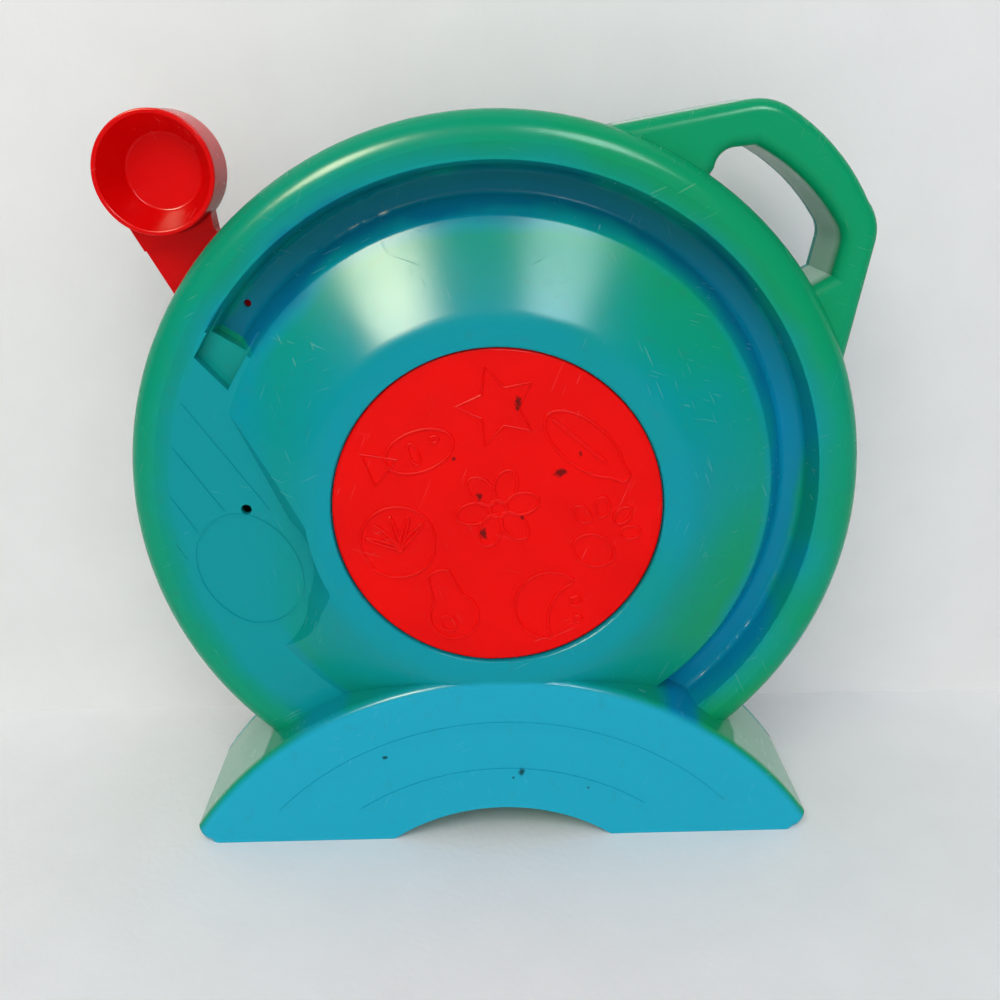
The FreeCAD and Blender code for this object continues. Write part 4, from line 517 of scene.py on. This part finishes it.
        # Painted sheen: the foot's outer faces and the handle's sides are painted paler where they face
        # outwards.
        outside = sheet.band(radius, 125.5 * MM, 127.0 * MM)
        low_side = sheet.times(sheet.band(z, 75.0 * MM, 65.0 * MM), sheet.band(y, -29.5 * MM, -26.5 * MM))
        high_side = sheet.times(sheet.band(z, 150.0 * MM, 160.0 * MM), sheet.band(y, -6.0 * MM, 0.0))
        colour = sheet.mix(sheet.times(sheet.times(outside, low_side), 0.75), colour, self.painted_side_sheen)
        colour = sheet.mix(sheet.times(outside, high_side), colour, self.painted_side_sheen)
        dirty = sheet.band(sheet.noise(240.0, 4.0), 0.6, 0.82)
        colour = sheet.mix(sheet.times(dirty, 0.18), colour, self.grime)
        return self.stain.over(sheet, colour)


@dataclass(frozen=True)
class MarkedRed(Finish):
    """Glossy red plastic with a few dark scuffs."""

    stain: Stain = DISC_STAIN

    def paint(self, sheet: NodeSheet) -> Socket:
        """Red with faint mottling and the dark scuffs.

        Args:
            sheet: Node sheet to draw on.

        Returns:
            The colour's socket.
        """
        return self.stain.over(sheet, super().paint(sheet))


@dataclass(frozen=True)
class DialPrint(Finish):
    """Printed card in twelve coloured fields with a pale border."""

    line_reach: float = 4.5 * MM
    border_radius: float = 93.5 * MM
    middle_radius: float = 30.0 * MM
    fields: tuple[Colour, ...] = (
        (0.85, 0.2, 0.03), (0.9, 0.65, 0.04), (0.2, 0.5, 0.06), (0.05, 0.35, 0.6),
        (0.6, 0.12, 0.3), (0.9, 0.42, 0.05), (0.75, 0.03, 0.03), (0.9, 0.78, 0.15),
        (0.07, 0.42, 0.25), (0.12, 0.2, 0.6), (0.45, 0.16, 0.5), (0.1, 0.5, 0.5),
    )

    def paint(self, sheet: NodeSheet) -> Socket:
        """Twelve fields round the axis, with pale lines between them.

        Args:
            sheet: Node sheet to draw on.

        Returns:
            The colour's socket.
        """
        x, _, z = sheet.split(sheet.place())
        rise = sheet.math("SUBTRACT", z, AXIS_HEIGHT)
        angle = sheet.math("DIVIDE", sheet.math("ARCTAN2", rise, x), math.tau)
        share = sheet.math("FRACT", sheet.math("ADD", angle, 1.0))
        count = len(self.fields)
        stops = tuple((index / count, colour) for index, colour in enumerate(self.fields))
        fields = sheet.ramp(share, stops, True)
        within = sheet.math("FRACT", sheet.times(share, float(count)))
        from_edge = sheet.times(sheet.math("MINIMUM", within, sheet.inverse(within)), 2.0)
        radius = sheet.away(0.0, AXIS_HEIGHT)
        line = sheet.math("LESS_THAN", sheet.times(from_edge, radius), self.line_reach)
        border = sheet.math("GREATER_THAN", radius, self.border_radius)
        middle = sheet.math("LESS_THAN", radius, self.middle_radius)
        pale = sheet.math("MAXIMUM", sheet.math("MAXIMUM", line, border), middle)
        return sheet.mix(pale, fields, self.colour)


@dataclass(frozen=True)
class BrushedMetal(Finish):
    """Metal with turning or rolling lines."""

    metallic: float = 1.0
    grain_depth: float = 0.0
    turned: bool = True

    def lay_out(self) -> NodeSheet:
        """Draw the metal with its fine lines.

        Returns:
            The sheet.
        """
        sheet = super().lay_out()
        stretch = (40.0, 4000.0, 40.0) if self.turned else (60.0, 60.0, 3000.0)
        sheet.bump(sheet.noise(1.0, 2.0, sheet.mapped(stretch)), 0.012 * MM, 0.5)
        return sheet


@dataclass(frozen=True)
class OneSidedPaint(Finish):
    """Wall paint that is clear from behind, so that other views look through the wall."""

    def lay_out(self) -> NodeSheet:
        """Draw the paint, clear on its back.

        Returns:
            The sheet.
        """
        sheet = super().lay_out()
        choice = sheet.tree.nodes.new("ShaderNodeMixShader")
        clear = sheet.tree.nodes.new("ShaderNodeBsdfTransparent")
        side = sheet.tree.nodes.new("ShaderNodeNewGeometry")
        sheet.link(side.outputs["Backfacing"], choice.inputs[0])
        sheet.link(sheet.shader.outputs[0], choice.inputs[1])
        sheet.link(clear.outputs[0], choice.inputs[2])
        sheet.link(choice.outputs[0], sheet.output.inputs["Surface"])
        return sheet


class Palette:
    """Every finish on the toy, each made once."""

    def __init__(self) -> None:
        """Make all the materials."""
        self.rear_shell = GreenRimShell("rear_shell_plastic", (0.003, 0.285, 0.37), 0.22, 0.06, scuffs=0.06,
                                     specular=0.08).build()
        self.front_shell = Finish("front_shell_plastic", (0.003, 0.3, 0.27), 0.24, 0.06, scuffs=0.06,
                                  mottling=0.2, specular=0.2).build()
        self.disc = MarkedRed("disc_plastic", (0.8, 0.001, 0.0006), 0.33, 0.06, scuffs=0.05, mottling=0.05,
                              specular=0.08).build()
        self.lever = Finish("lever_plastic", (0.68, 0.001, 0.0015), 0.2, 0.05, scuffs=0.04, mottling=0.05,
                            specular=0.1).build()
        self.print = DialPrint("dial_print", (0.88, 0.86, 0.74), 0.45, 0.06, coat=0.3, grain=1500.0).build()
        self.ink = Finish("motif_ink", (0.012, 0.014, 0.02), 0.45, 0.08, mottling=0.3).build()
        self.paper_white = Finish("motif_white", (0.85, 0.84, 0.78), 0.5, 0.08, mottling=0.05).build()
        self.pointer = Finish("pointer_plastic", (0.88, 0.55, 0.02), 0.25, 0.08, coat=0.4, scuffs=0.2,
                              mottling=0.06).build()
        self.natural = Finish("natural_plastic", (0.8, 0.79, 0.72), 0.42, 0.08, grain=1400.0, mottling=0.05,
                              glow_through=0.15).build()
        self.black = Finish("pressed_plastic", (0.012, 0.012, 0.014), 0.24, 0.08, coat=0.3,
                            mottling=0.3).build()
        self.cone = Finish("cone_film", (0.66, 0.63, 0.54), 0.5, 0.1, grain=2200.0, mottling=0.08).build()
        self.plate = BrushedMetal("stamped_plate", (0.6, 0.61, 0.62), 0.34, 0.08, mottling=0.08,
                                  turned=False).build()
        self.steel = BrushedMetal("bright_steel", (0.66, 0.67, 0.68), 0.24, 0.06, mottling=0.06).build()
        self.spring = BrushedMetal("spring_strip", (0.26, 0.29, 0.36), 0.3, 0.08, mottling=0.15).build()
        self.brass = BrushedMetal("turned_brass", (0.78, 0.58, 0.24), 0.28, 0.06, mottling=0.1).build()
        self.card = Finish("stage_card", (0.79, 0.8, 0.825), 0.75, 0.05, grain=320.0,
                           grain_depth=0.3 * MM, mottling=0.015).build()
        self.wall = OneSidedPaint("wall_paint", (0.73, 0.735, 0.75), 0.75, 0.05, grain=200.0,
                                  grain_depth=0.2 * MM, mottling=0.015).build()


def dress(node: str, material: bpy.types.Material) -> None:
    """Give a CAD node its material.

    Args:
        node: Name of the node.
        material: Material for all of its slots.
    """
    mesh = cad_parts[node].data
    if not mesh.materials:
        mesh.materials.append(material)
    for index in range(len(mesh.materials)):
        mesh.materials[index] = material
    LOG.info("dressed %s", node)


def deselect() -> None:
    """Leave nothing selected."""
    if bpy.context.object and bpy.context.object.mode != "OBJECT":
        bpy.ops.object.mode_set(mode="OBJECT")
    bpy.ops.object.select_all(action="DESELECT")


def choose(piece: bpy.types.Object) -> None:
    """Make one object the selected and active one.

    Args:
        piece: The object.
    """
    deselect()
    piece.select_set(True)
    bpy.context.view_layer.objects.active = piece


def pick(piece: bpy.types.Object, wanted: Callable[[Vector], bool]) -> None:
    """Select a mesh's points that pass a test, in edit mode.

    Args:
        piece: Mesh object.
        wanted: Test of a point's place.
    """
    bpy.ops.object.mode_set(mode="EDIT")
    bpy.ops.mesh.select_mode(type="VERT")
    bpy.ops.mesh.select_all(action="DESELECT")
    bpy.ops.object.mode_set(mode="OBJECT")
    for point in piece.data.vertices:
        point.select = wanted(point.co)
    bpy.ops.object.mode_set(mode="EDIT")


def settle(piece: bpy.types.Object) -> None:
    """Apply an object's place and its modifiers, with its faces outwards.

    Args:
        piece: Mesh object.
    """
    choose(piece)
    bpy.ops.object.transform_apply(location=True, rotation=True, scale=True)
    for modifier in list(piece.modifiers):
        bpy.ops.object.modifier_apply(modifier=modifier.name)
    bpy.ops.object.mode_set(mode="EDIT")
    bpy.ops.mesh.select_all(action="SELECT")
    bpy.ops.mesh.remove_doubles(threshold=SAME_PLACE)
    bpy.ops.mesh.normals_make_consistent(inside=False)
    bpy.ops.object.mode_set(mode="OBJECT")


def joined(pieces: list[bpy.types.Object], name: str) -> bpy.types.Object:
    """Join meshes into one named object.

    Args:
        pieces: Mesh objects.
        name: Name of the result.

    Returns:
        The joined object.
    """
    deselect()
    for piece in pieces:
        piece.select_set(True)
    bpy.context.view_layer.objects.active = pieces[0]
    if len(pieces) > 1:
        bpy.ops.object.join()
    result = bpy.context.object
    result.name = name
    result.data.name = name
    return result


@dataclass
class Motif:
    """One small generic figure, drawn flat in X and Y about the origin, up along Y."""

    shape: Shape
    size: float

    def loop(self, points: int, radius: float, across: float = 0.0, up: float = 0.0,
             stretch: Pair = (1.0, 1.0), turn: float = 0.0) -> bpy.types.Object:
        """A flat oval.

        Args:
            points: Number of points.
            radius: Radius in shares of the motif's size.
            across: X of the middle, in the same shares.
            up: Y of the middle, in the same shares.
            stretch: Stretch on X and Y.
            turn: Turn in radians.

        Returns:
            The oval's object.
        """
        bpy.ops.mesh.primitive_circle_add(
            vertices=points, radius=radius * self.size, fill_type="NGON", rotation=(0.0, 0.0, turn),
            location=(across * self.size, up * self.size, 0.0))
        bpy.context.object.scale = (stretch[0], stretch[1], 1.0)
        return bpy.context.object

    def pull(self, piece: bpy.types.Object, wanted: Callable[[Vector], bool], shift: Pair = (0.0, 0.0),
             scale: Pair = (1.0, 1.0), about: Pair = (0.0, 0.0)) -> bpy.types.Object:
        """Move or gather some of an oval's points.

        Args:
            piece: The oval.
            wanted: Test of a point's place.
            shift: Move on X and Y, in shares of the size.
            scale: Stretch on X and Y.
            about: Point that the stretch keeps, in shares of the size.

        Returns:
            The same oval.
        """
        choose(piece)
        bpy.ops.object.transform_apply(location=True, rotation=True, scale=True)
        pick(piece, wanted)
        bpy.ops.transform.translate(value=(shift[0] * self.size, shift[1] * self.size, 0.0))
        if scale != (1.0, 1.0):
            centre = (about[0] * self.size, about[1] * self.size, 0.0)
            bpy.ops.transform.resize(value=(*scale, 1.0), center_override=centre)
        bpy.ops.object.mode_set(mode="OBJECT")
        return piece

    def flower(self) -> list[bpy.types.Object]:
        """Six petals round a middle.

        Returns:
            Flat mesh pieces.
        """
        turns = (math.tau * index / 6 for index in range(6))
        petals = [self.loop(20, 0.3, 0.52 * math.cos(turn), 0.52 * math.sin(turn), (1.25, 0.8), turn)
                  for turn in turns]
        return petals + [self.loop(20, 0.2)]

    def star(self) -> list[bpy.types.Object]:
        """Five points, made from ten by drawing every other one in."""
        half_turn = math.tau / 10
        return [self.pull(self.loop(10, 1.0),
                          lambda point: round(math.atan2(point.x, point.y) / half_turn) % 2 == 1,
                          scale=(0.48, 0.48))]

    def leaf(self) -> list[bpy.types.Object]:
        """A pointed oval with its rib."""
        blade = self.pull(self.loop(28, 0.62, stretch=(1.5, 0.72)),
                          lambda point: point.x > 0.9 * self.size, (0.22, 0.0))
        return [blade, self.loop(16, 0.72, -0.1, 0.0, (1.0, 0.03))]

    def drop(self) -> list[bpy.types.Object]:
        """A drop with a small glint."""
        drop = self.pull(self.loop(28, 0.55, 0.0, -0.25),
                         lambda point: point.y > 0.24 * self.size, (0.0, 0.62))
        return [drop, self.loop(14, 0.16, -0.18, -0.38, (1.0, 1.3), 0.4)]

    def fish(self) -> list[bpy.types.Object]:
        """Body, tail, eye and gill.

        Returns:
            Flat mesh pieces.
        """
        body = self.loop(30, 0.5, 0.12, 0.0, (1.45, 0.85))
        tail = self.loop(3, 0.42, -0.78, 0.0, turn=-math.pi / 2.0)
        return [body, tail, self.loop(12, 0.07, 0.5, 0.12), self.loop(16, 0.24, 0.0, -0.02, (0.4, 1.0))]

    def paw(self) -> list[bpy.types.Object]:
        """Four toes over a pad.

        Returns:
            Flat mesh pieces.
        """
        toes = []
        for turn in (0.45, 1.15, 1.95, 2.7):
            across, up = 0.62 * math.cos(turn), 0.12 + 0.62 * math.sin(turn)
            toes.append(self.loop(16, 0.19, across, up, (0.8, 1.2), turn - 1.57))
        return toes + [self.loop(24, 0.4, 0.0, -0.28, (1.15, 0.9))]

    def moon(self) -> list[bpy.types.Object]:
        """A crescent with two sparks."""
        moon = self.pull(self.loop(40, 0.85), lambda point: point.x > 0.3 * self.size, scale=(-0.55, 0.9),
                         about=(0.3, 0.0))
        return [moon, self.loop(5, 0.14, 0.5, 0.3), self.loop(5, 0.1, 0.72, -0.1)]

    def shell(self) -> list[bpy.types.Object]:
        """A fan with five rays.

        Returns:
            Flat mesh pieces.
        """
        rays = []
        for turn in (0.6, 1.05, 1.57, 2.09, 2.54):
            across, up = 0.34 * math.cos(turn), 0.34 * math.sin(turn) - 0.2
            rays.append(self.loop(14, 0.38, across, up, (1.1, 0.12), turn))
        fan = self.pull(self.loop(32, 0.8, stretch=(1.0, 0.95)),
                        lambda point: point.y < -0.35 * self.size, (0.0, -0.1))
        return [fan] + rays

    def loops(self) -> list[bpy.types.Object]:
        """All the ovals that draw the figure.

        Returns:
            Flat mesh pieces.
        """
        drawings = {
            Shape.FLOWER: self.flower, Shape.STAR: self.star, Shape.LEAF: self.leaf, Shape.DROP: self.drop,
            Shape.FISH: self.fish, Shape.PAW: self.paw, Shape.MOON: self.moon, Shape.SHELL: self.shell,
        }
        return drawings[self.shape]()

    def raised(self, name: str, height: float, width: float) -> bpy.types.Object:
        """The figure as raised outlines.

        Args:
            name: Name of the result.
            height: Height of the line above the face, in metres.
            width: Width of the line, in metres.

        Returns:
            The lines' object, still flat in X and Y.
        """
        lines = joined(self.loops(), name)
        pick(lines, lambda point: True)
        bpy.ops.mesh.delete(type="ONLY_FACE")
        bpy.ops.object.mode_set(mode="OBJECT")
        bpy.ops.object.transform_apply(location=True, rotation=True, scale=True)
        bpy.ops.object.convert(target="CURVE")
        curve = bpy.context.object
        curve.data.dimensions = "3D"
        curve.data.bevel_depth = width / 2.0
        curve.data.bevel_resolution = 2
        bpy.ops.object.convert(target="MESH")
        lines = bpy.context.object
        lines.scale = (1.0, 1.0, height / (width / 2.0))
        bpy.ops.object.transform_apply(location=True, rotation=True, scale=True)
        return lines

    def filled(self, name: str, thickness: float) -> bpy.types.Object:
        """The figure as thin filled shapes.

        Args:
            name: Name of the result.
            thickness: Thickness in metres.

        Returns:
            The shapes' object, still flat in X and Y.
        """
        shapes = self.loops()
        for level, piece in enumerate(shapes):
            piece.location.z = level * thickness * 0.02
        plates = joined(shapes, name)
        pick(plates, lambda point: True)
        bpy.ops.mesh.extrude_region_move(TRANSFORM_OT_translate={"value": (0.0, 0.0, thickness)})
        bpy.ops.object.mode_set(mode="OBJECT")
        return plates


@dataclass
class SpeakerSide:
    """Red disc with raised motifs, and the sound cone behind it."""

    palette: Palette
    line_height: float = 0.55 * MM
    line_width: float = 1.2 * MM
    face: float = REAR + 1.3 * MM
    layout: tuple[tuple[Shape, float, float, float, float], ...] = (
        (Shape.FLOWER, 0.0, 1.0, 15.5, 0.2), (Shape.FISH, -27.0, 20.5, 16.0, 0.35),
        (Shape.LEAF, 28.0, 22.5, 16.5, -0.7), (Shape.STAR, 0.5, 35.5, 13.5, 0.3),
        (Shape.PAW, 33.5, -10.5, 15.5, -0.4), (Shape.SHELL, -33.5, -9.5, 15.5, 0.25),
        (Shape.DROP, -16.5, -34.0, 15.0, 0.3), (Shape.MOON, 17.5, -34.5, 14.5, -0.35),
    )

    def build(self) -> None:
        """Draw the raised motifs, then dress the disc and the cone."""
        lines = []
        for number, (shape, across, up, size, turn) in enumerate(self.layout, start=1):
            figure = Motif(shape, size * MM).raised("line_%d" % number, self.line_height, self.line_width)
            lines.append(self.set_down(figure, across, up, turn))
        piece = joined(lines, "disc_motifs")
        settle(piece)
        piece.data.materials.append(self.palette.disc)
        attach(piece, "housing")
        LOG.info("made %s", piece.name)
        self.finish()

    def set_down(self, piece: bpy.types.Object, across: float, up: float, turn: float) -> bpy.types.Object:
        """Stand a flat figure up on the disc's rear face.

        Args:
            piece: Flat figure.
            across: Millimetres to the right of the axis, seen from the rear.
            up: Millimetres above the axis.
            turn: Turn in radians, anticlockwise as seen.

        Returns:
            The same piece in its place.
        """
        choose(piece)
        piece.matrix_world = (Matrix.Translation((across * MM, self.face, AXIS_HEIGHT + up * MM))
                              @ Matrix.Rotation(math.pi / 2.0, 4, "X") @ Matrix.Rotation(turn, 4, "Z"))
        bpy.ops.object.transform_apply(location=True, rotation=True, scale=True)
        return piece

    def finish(self) -> None:
        """Dress the disc and the cone."""
        dress("speaker_disc", self.palette.disc)
        dress("sound_cone", self.palette.cone)


@dataclass
class DialSide:
    """Picture dial with its printed fields, small figures, pointer and bush."""

    palette: Palette
    face: float = REAR + 57.8 * MM
    figure_radius: float = 70.0
    figure_size: float = 11.0
    figure_thickness: float = 0.12 * MM
    back_radius: float = 15.0 * MM
    shapes: tuple[Shape, ...] = (
        Shape.PAW, Shape.FISH, Shape.STAR, Shape.LEAF, Shape.FLOWER, Shape.DROP,
        Shape.MOON, Shape.PAW, Shape.SHELL, Shape.FISH, Shape.STAR, Shape.FLOWER,
    )

    def build(self) -> None:
        """Print a figure on a pale round in each of the twelve fields, then dress the dial's pieces."""
        figures = []
        backs = []
        for number, shape in enumerate(self.shapes):
            angle = math.tau * (number + 0.5) / len(self.shapes)
            place = (self.figure_radius * math.cos(angle), self.figure_radius * math.sin(angle))
            bpy.ops.mesh.primitive_cylinder_add(
                vertices=48, radius=self.back_radius, depth=self.figure_thickness)
            backs.append(self.set_down(bpy.context.object, place, angle, 0.0))
            figure = Motif(shape, self.figure_size * MM).filled("figure_%d" % number, self.figure_thickness)
            figures.append(self.set_down(figure, place, angle, self.figure_thickness / 2.0))
        for name, plates, material in (("dial_discs", backs, self.palette.paper_white),
                                       ("dial_figures", figures, self.palette.ink)):
            piece = joined(plates, name)
            settle(piece)
            piece.data.materials.append(material)
            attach(piece, "housing")
            LOG.info("made %s", piece.name)
        self.finish()

    def set_down(self, piece: bpy.types.Object, place: tuple[float, float], angle: float,
                 lift: float) -> bpy.types.Object:
        """Stand a flat figure up on the dial's face, its foot towards the axis.

        Args:
            piece: Flat figure.
            place: Millimetres across and up from the axis.
            angle: Direction of the field in radians.
            lift: Height above the face in metres.

        Returns:
            The same piece in its place.
        """
        choose(piece)
        across, up = place
        piece.matrix_world = (Matrix.Translation((across * MM, self.face + lift, AXIS_HEIGHT + up * MM))
                              @ Matrix.Rotation(math.pi / 2.0 - angle, 4, "Y")
                              @ Matrix.Rotation(-math.pi / 2.0, 4, "X") @ Matrix.Rotation(math.pi, 4, "Z"))
        bpy.ops.object.transform_apply(location=True, rotation=True, scale=True)
        return piece

    def finish(self) -> None:
        """Dress the dial's own pieces."""
        dress("picture_disc", self.palette.print)
        dress("dial_bush", self.palette.natural)
        dress("pointer_arrow", self.palette.pointer)
        dress("pointer_cap", self.palette.pointer)


@dataclass
class Housing:
    """Both shells with their screws."""

    palette: Palette

    def build(self) -> None:
        """Dress the shells and the screws."""
        dress("rear_shell", self.palette.rear_shell)
        dress("front_shell", self.palette.front_shell)
        dress("housing_screws", self.palette.steel)


@dataclass
class Lever:
    """Red lever with its cup, pin and sector."""

    palette: Palette

    def build(self) -> None:
        """Dress the lever."""
        dress("lever_arm", self.palette.lever)
        dress("knob_cup", self.palette.lever)
        dress("sector_gear", self.palette.natural)
        dress("lever_pin", self.palette.steel)


@dataclass
class Mechanism:
    """Everything between the chassis plates, and the record with its pickup."""

    palette: Palette

    def build(self) -> None:
        """Dress each inner piece by its stuff."""
        groups = {
            self.palette.natural: (
                "chassis_posts", "tonearm_post", "governor_drum", "spring_cup", "winding_pinion",
                "pawl_carrier", "winding_sleeve", "record_clip", "turntable", "turntable_gear",
                "idler_pinion", "idler_gear", "governor_hub", "tonearm",
            ),
            self.palette.plate: ("chassis_rear_plate", "chassis_front_plate"),
            self.palette.steel: ("chassis_screws", "spindle", "idler_shaft", "governor_shaft", "stylus"),
            self.palette.spring: ("main_spring",),
            self.palette.brass: ("spindle_bushes", "governor_pinion", "governor_weights"),
            self.palette.black: ("clutch_pawls", "record_disc", "ratchet_wheel"),
        }
        for material, nodes in groups.items():
            for node in nodes:
                dress(node, material)


@dataclass(frozen=True)
class Lamp:
    """A rectangular lamp, in metres and watts."""

    name: str
    place: Point
    target: Point
    size: Pair
    power: float
    colour: Colour = (1.0, 1.0, 1.0)

    def hang(self, shows: bool) -> None:
        """Put the lamp in the room.

        Args:
            shows: True if it only shows in glossy surfaces, False if it only lights matt ones.
        """
        lamp = bpy.data.lights.new(self.name, "AREA")
        lamp.shape = "RECTANGLE"
        lamp.size, lamp.size_y = self.size
        lamp.energy = self.power
        lamp.color = self.colour
        holder = bpy.data.objects.new(self.name, lamp)
        holder.location = self.place
        aim = Vector(self.target) - Vector(self.place)
        holder.rotation_euler = aim.to_track_quat("-Z", "Y").to_euler()
        holder.visible_glossy = shows
        holder.visible_diffuse = not shows
        bpy.context.scene.collection.objects.link(holder)


@dataclass
class Studio:
    """White floor and wall, window light and the camera."""

    palette: Palette
    stage_size: float = 6.0
    wall_depth: float = 67.0 * MM
    camera_place: Point = (-3.6 * MM, -365.0 * MM, 249.0 * MM)
    yaw: float = 0.75
    pitch: float = 19.49
    roll: float = -0.9
    lens: float = 38.95
    world_colour: Colour = (0.95, 0.975, 1.0)
    world_strength: float = 0.3
    world_in_gloss: float = 0.04
    world_seen: float = 0.74
    windows: tuple[Lamp, ...] = (
        Lamp("left_window", (-0.57, -0.86, 1.0), (-0.03, 0.0, 0.2), (0.36, 0.42), 58.0, (1.0, 0.96, 0.66)),
        Lamp("right_window", (0.39, -0.86, 1.05), (0.03, 0.0, 0.2), (0.36, 0.42), 24.0, (0.84, 0.94, 1.0)),
    )
    lamps: tuple[Lamp, ...] = (
        Lamp("day", (-0.2, -1.1, 1.2), (0.0, 0.0, 0.15), (1.2, 0.7), 9.5, (1.0, 0.99, 0.97)),
        Lamp("room_above", (0.0, -0.1, 1.6), (0.0, 0.0, 0.0), (2.2, 1.6), 5.0),
        Lamp("room_back", (0.3, 1.9, 1.0), (0.0, 0.0, 0.1), (2.4, 1.4), 6.5),
        Lamp("room_front", (0.3, -2.2, 0.7), (0.0, 0.0, 0.15), (2.4, 1.4), 13.2, (1.0, 0.995, 0.99)),
    )

    def build(self) -> None:
        """Set up the stage, the light and the camera."""
        self.stage()
        for window in self.windows:
            window.hang(True)
        for lamp in self.lamps:
            lamp.hang(False)
        self.world()
        self.camera()

    def stage(self) -> None:
        """Floor and wall."""
        deselect()
        bpy.ops.mesh.primitive_plane_add(size=self.stage_size)
        floor = bpy.context.object
        floor.name = "floor"
        floor.data.materials.append(self.palette.card)
        deselect()
        bpy.ops.mesh.primitive_plane_add(
            size=self.stage_size, location=(0.0, self.wall_depth, self.stage_size / 2.0),
            rotation=(math.pi / 2.0, 0.0, 0.0))
        wall = bpy.context.object
        wall.name = "wall"
        wall.data.materials.append(self.palette.wall)

    def world(self) -> None:
        """An even world, dimmer in reflections and pale where the camera sees it."""
        world = bpy.data.worlds.new("room")
        world.use_nodes = True
        nodes, links = world.node_tree.nodes, world.node_tree.links
        ground = nodes["Background"]
        ground.inputs["Color"].default_value = (*self.world_colour, 1.0)
        ray = nodes.new("ShaderNodeLightPath")
        dimmer = nodes.new("ShaderNodeMapRange")
        dimmer.inputs["To Min"].default_value = self.world_strength
        dimmer.inputs["To Max"].default_value = self.world_in_gloss
        links.new(ray.outputs["Is Glossy Ray"], dimmer.inputs["Value"])
        seen = nodes.new("ShaderNodeMapRange")
        seen.inputs["To Max"].default_value = self.world_seen
        links.new(dimmer.outputs[0], seen.inputs["To Min"])
        links.new(ray.outputs["Is Camera Ray"], seen.inputs["Value"])
        links.new(seen.outputs[0], ground.inputs["Strength"])
        bpy.context.scene.world = world

    def camera(self) -> None:
        """Camera where the photograph was taken."""
        yaw, pitch, roll = (math.radians(angle) for angle in (self.yaw, self.pitch, self.roll))
        ahead = Vector((math.sin(yaw) * math.cos(pitch), math.cos(yaw) * math.cos(pitch), -math.sin(pitch)))
        level = Vector((math.cos(yaw), -math.sin(yaw), 0.0))
        above = level.cross(ahead)
        right = level * math.cos(roll) + above * math.sin(roll)
        upward = above * math.cos(roll) - level * math.sin(roll)
        turn = Matrix((right, upward, -ahead)).transposed()
        data = bpy.data.cameras.new("photo_camera")
        data.lens = self.lens
        data.sensor_width = 36.0
        data.clip_start = 0.01
        holder = bpy.data.objects.new("photo_camera", data)
        holder.matrix_world = Matrix.Translation(self.camera_place) @ turn.to_4x4()
        bpy.context.scene.collection.objects.link(holder)
        bpy.context.scene.camera = holder


def main() -> None:
    """Build each sub-assembly in order and report it."""
    logging.basicConfig(level=logging.INFO, format="%(relativeCreated)d ms %(message)s")
    bpy.context.scene.view_settings.view_transform = "Standard"
    palette = Palette()
    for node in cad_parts.values():
        node.hide_viewport = True
    for sub_assembly in (Housing, SpeakerSide, DialSide, Lever, Mechanism, Studio):
        sub_assembly(palette).build()
        LOG.info("built %s", sub_assembly.__name__)
    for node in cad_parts.values():
        node.hide_viewport = False


if __name__ == "__main__":
    main()
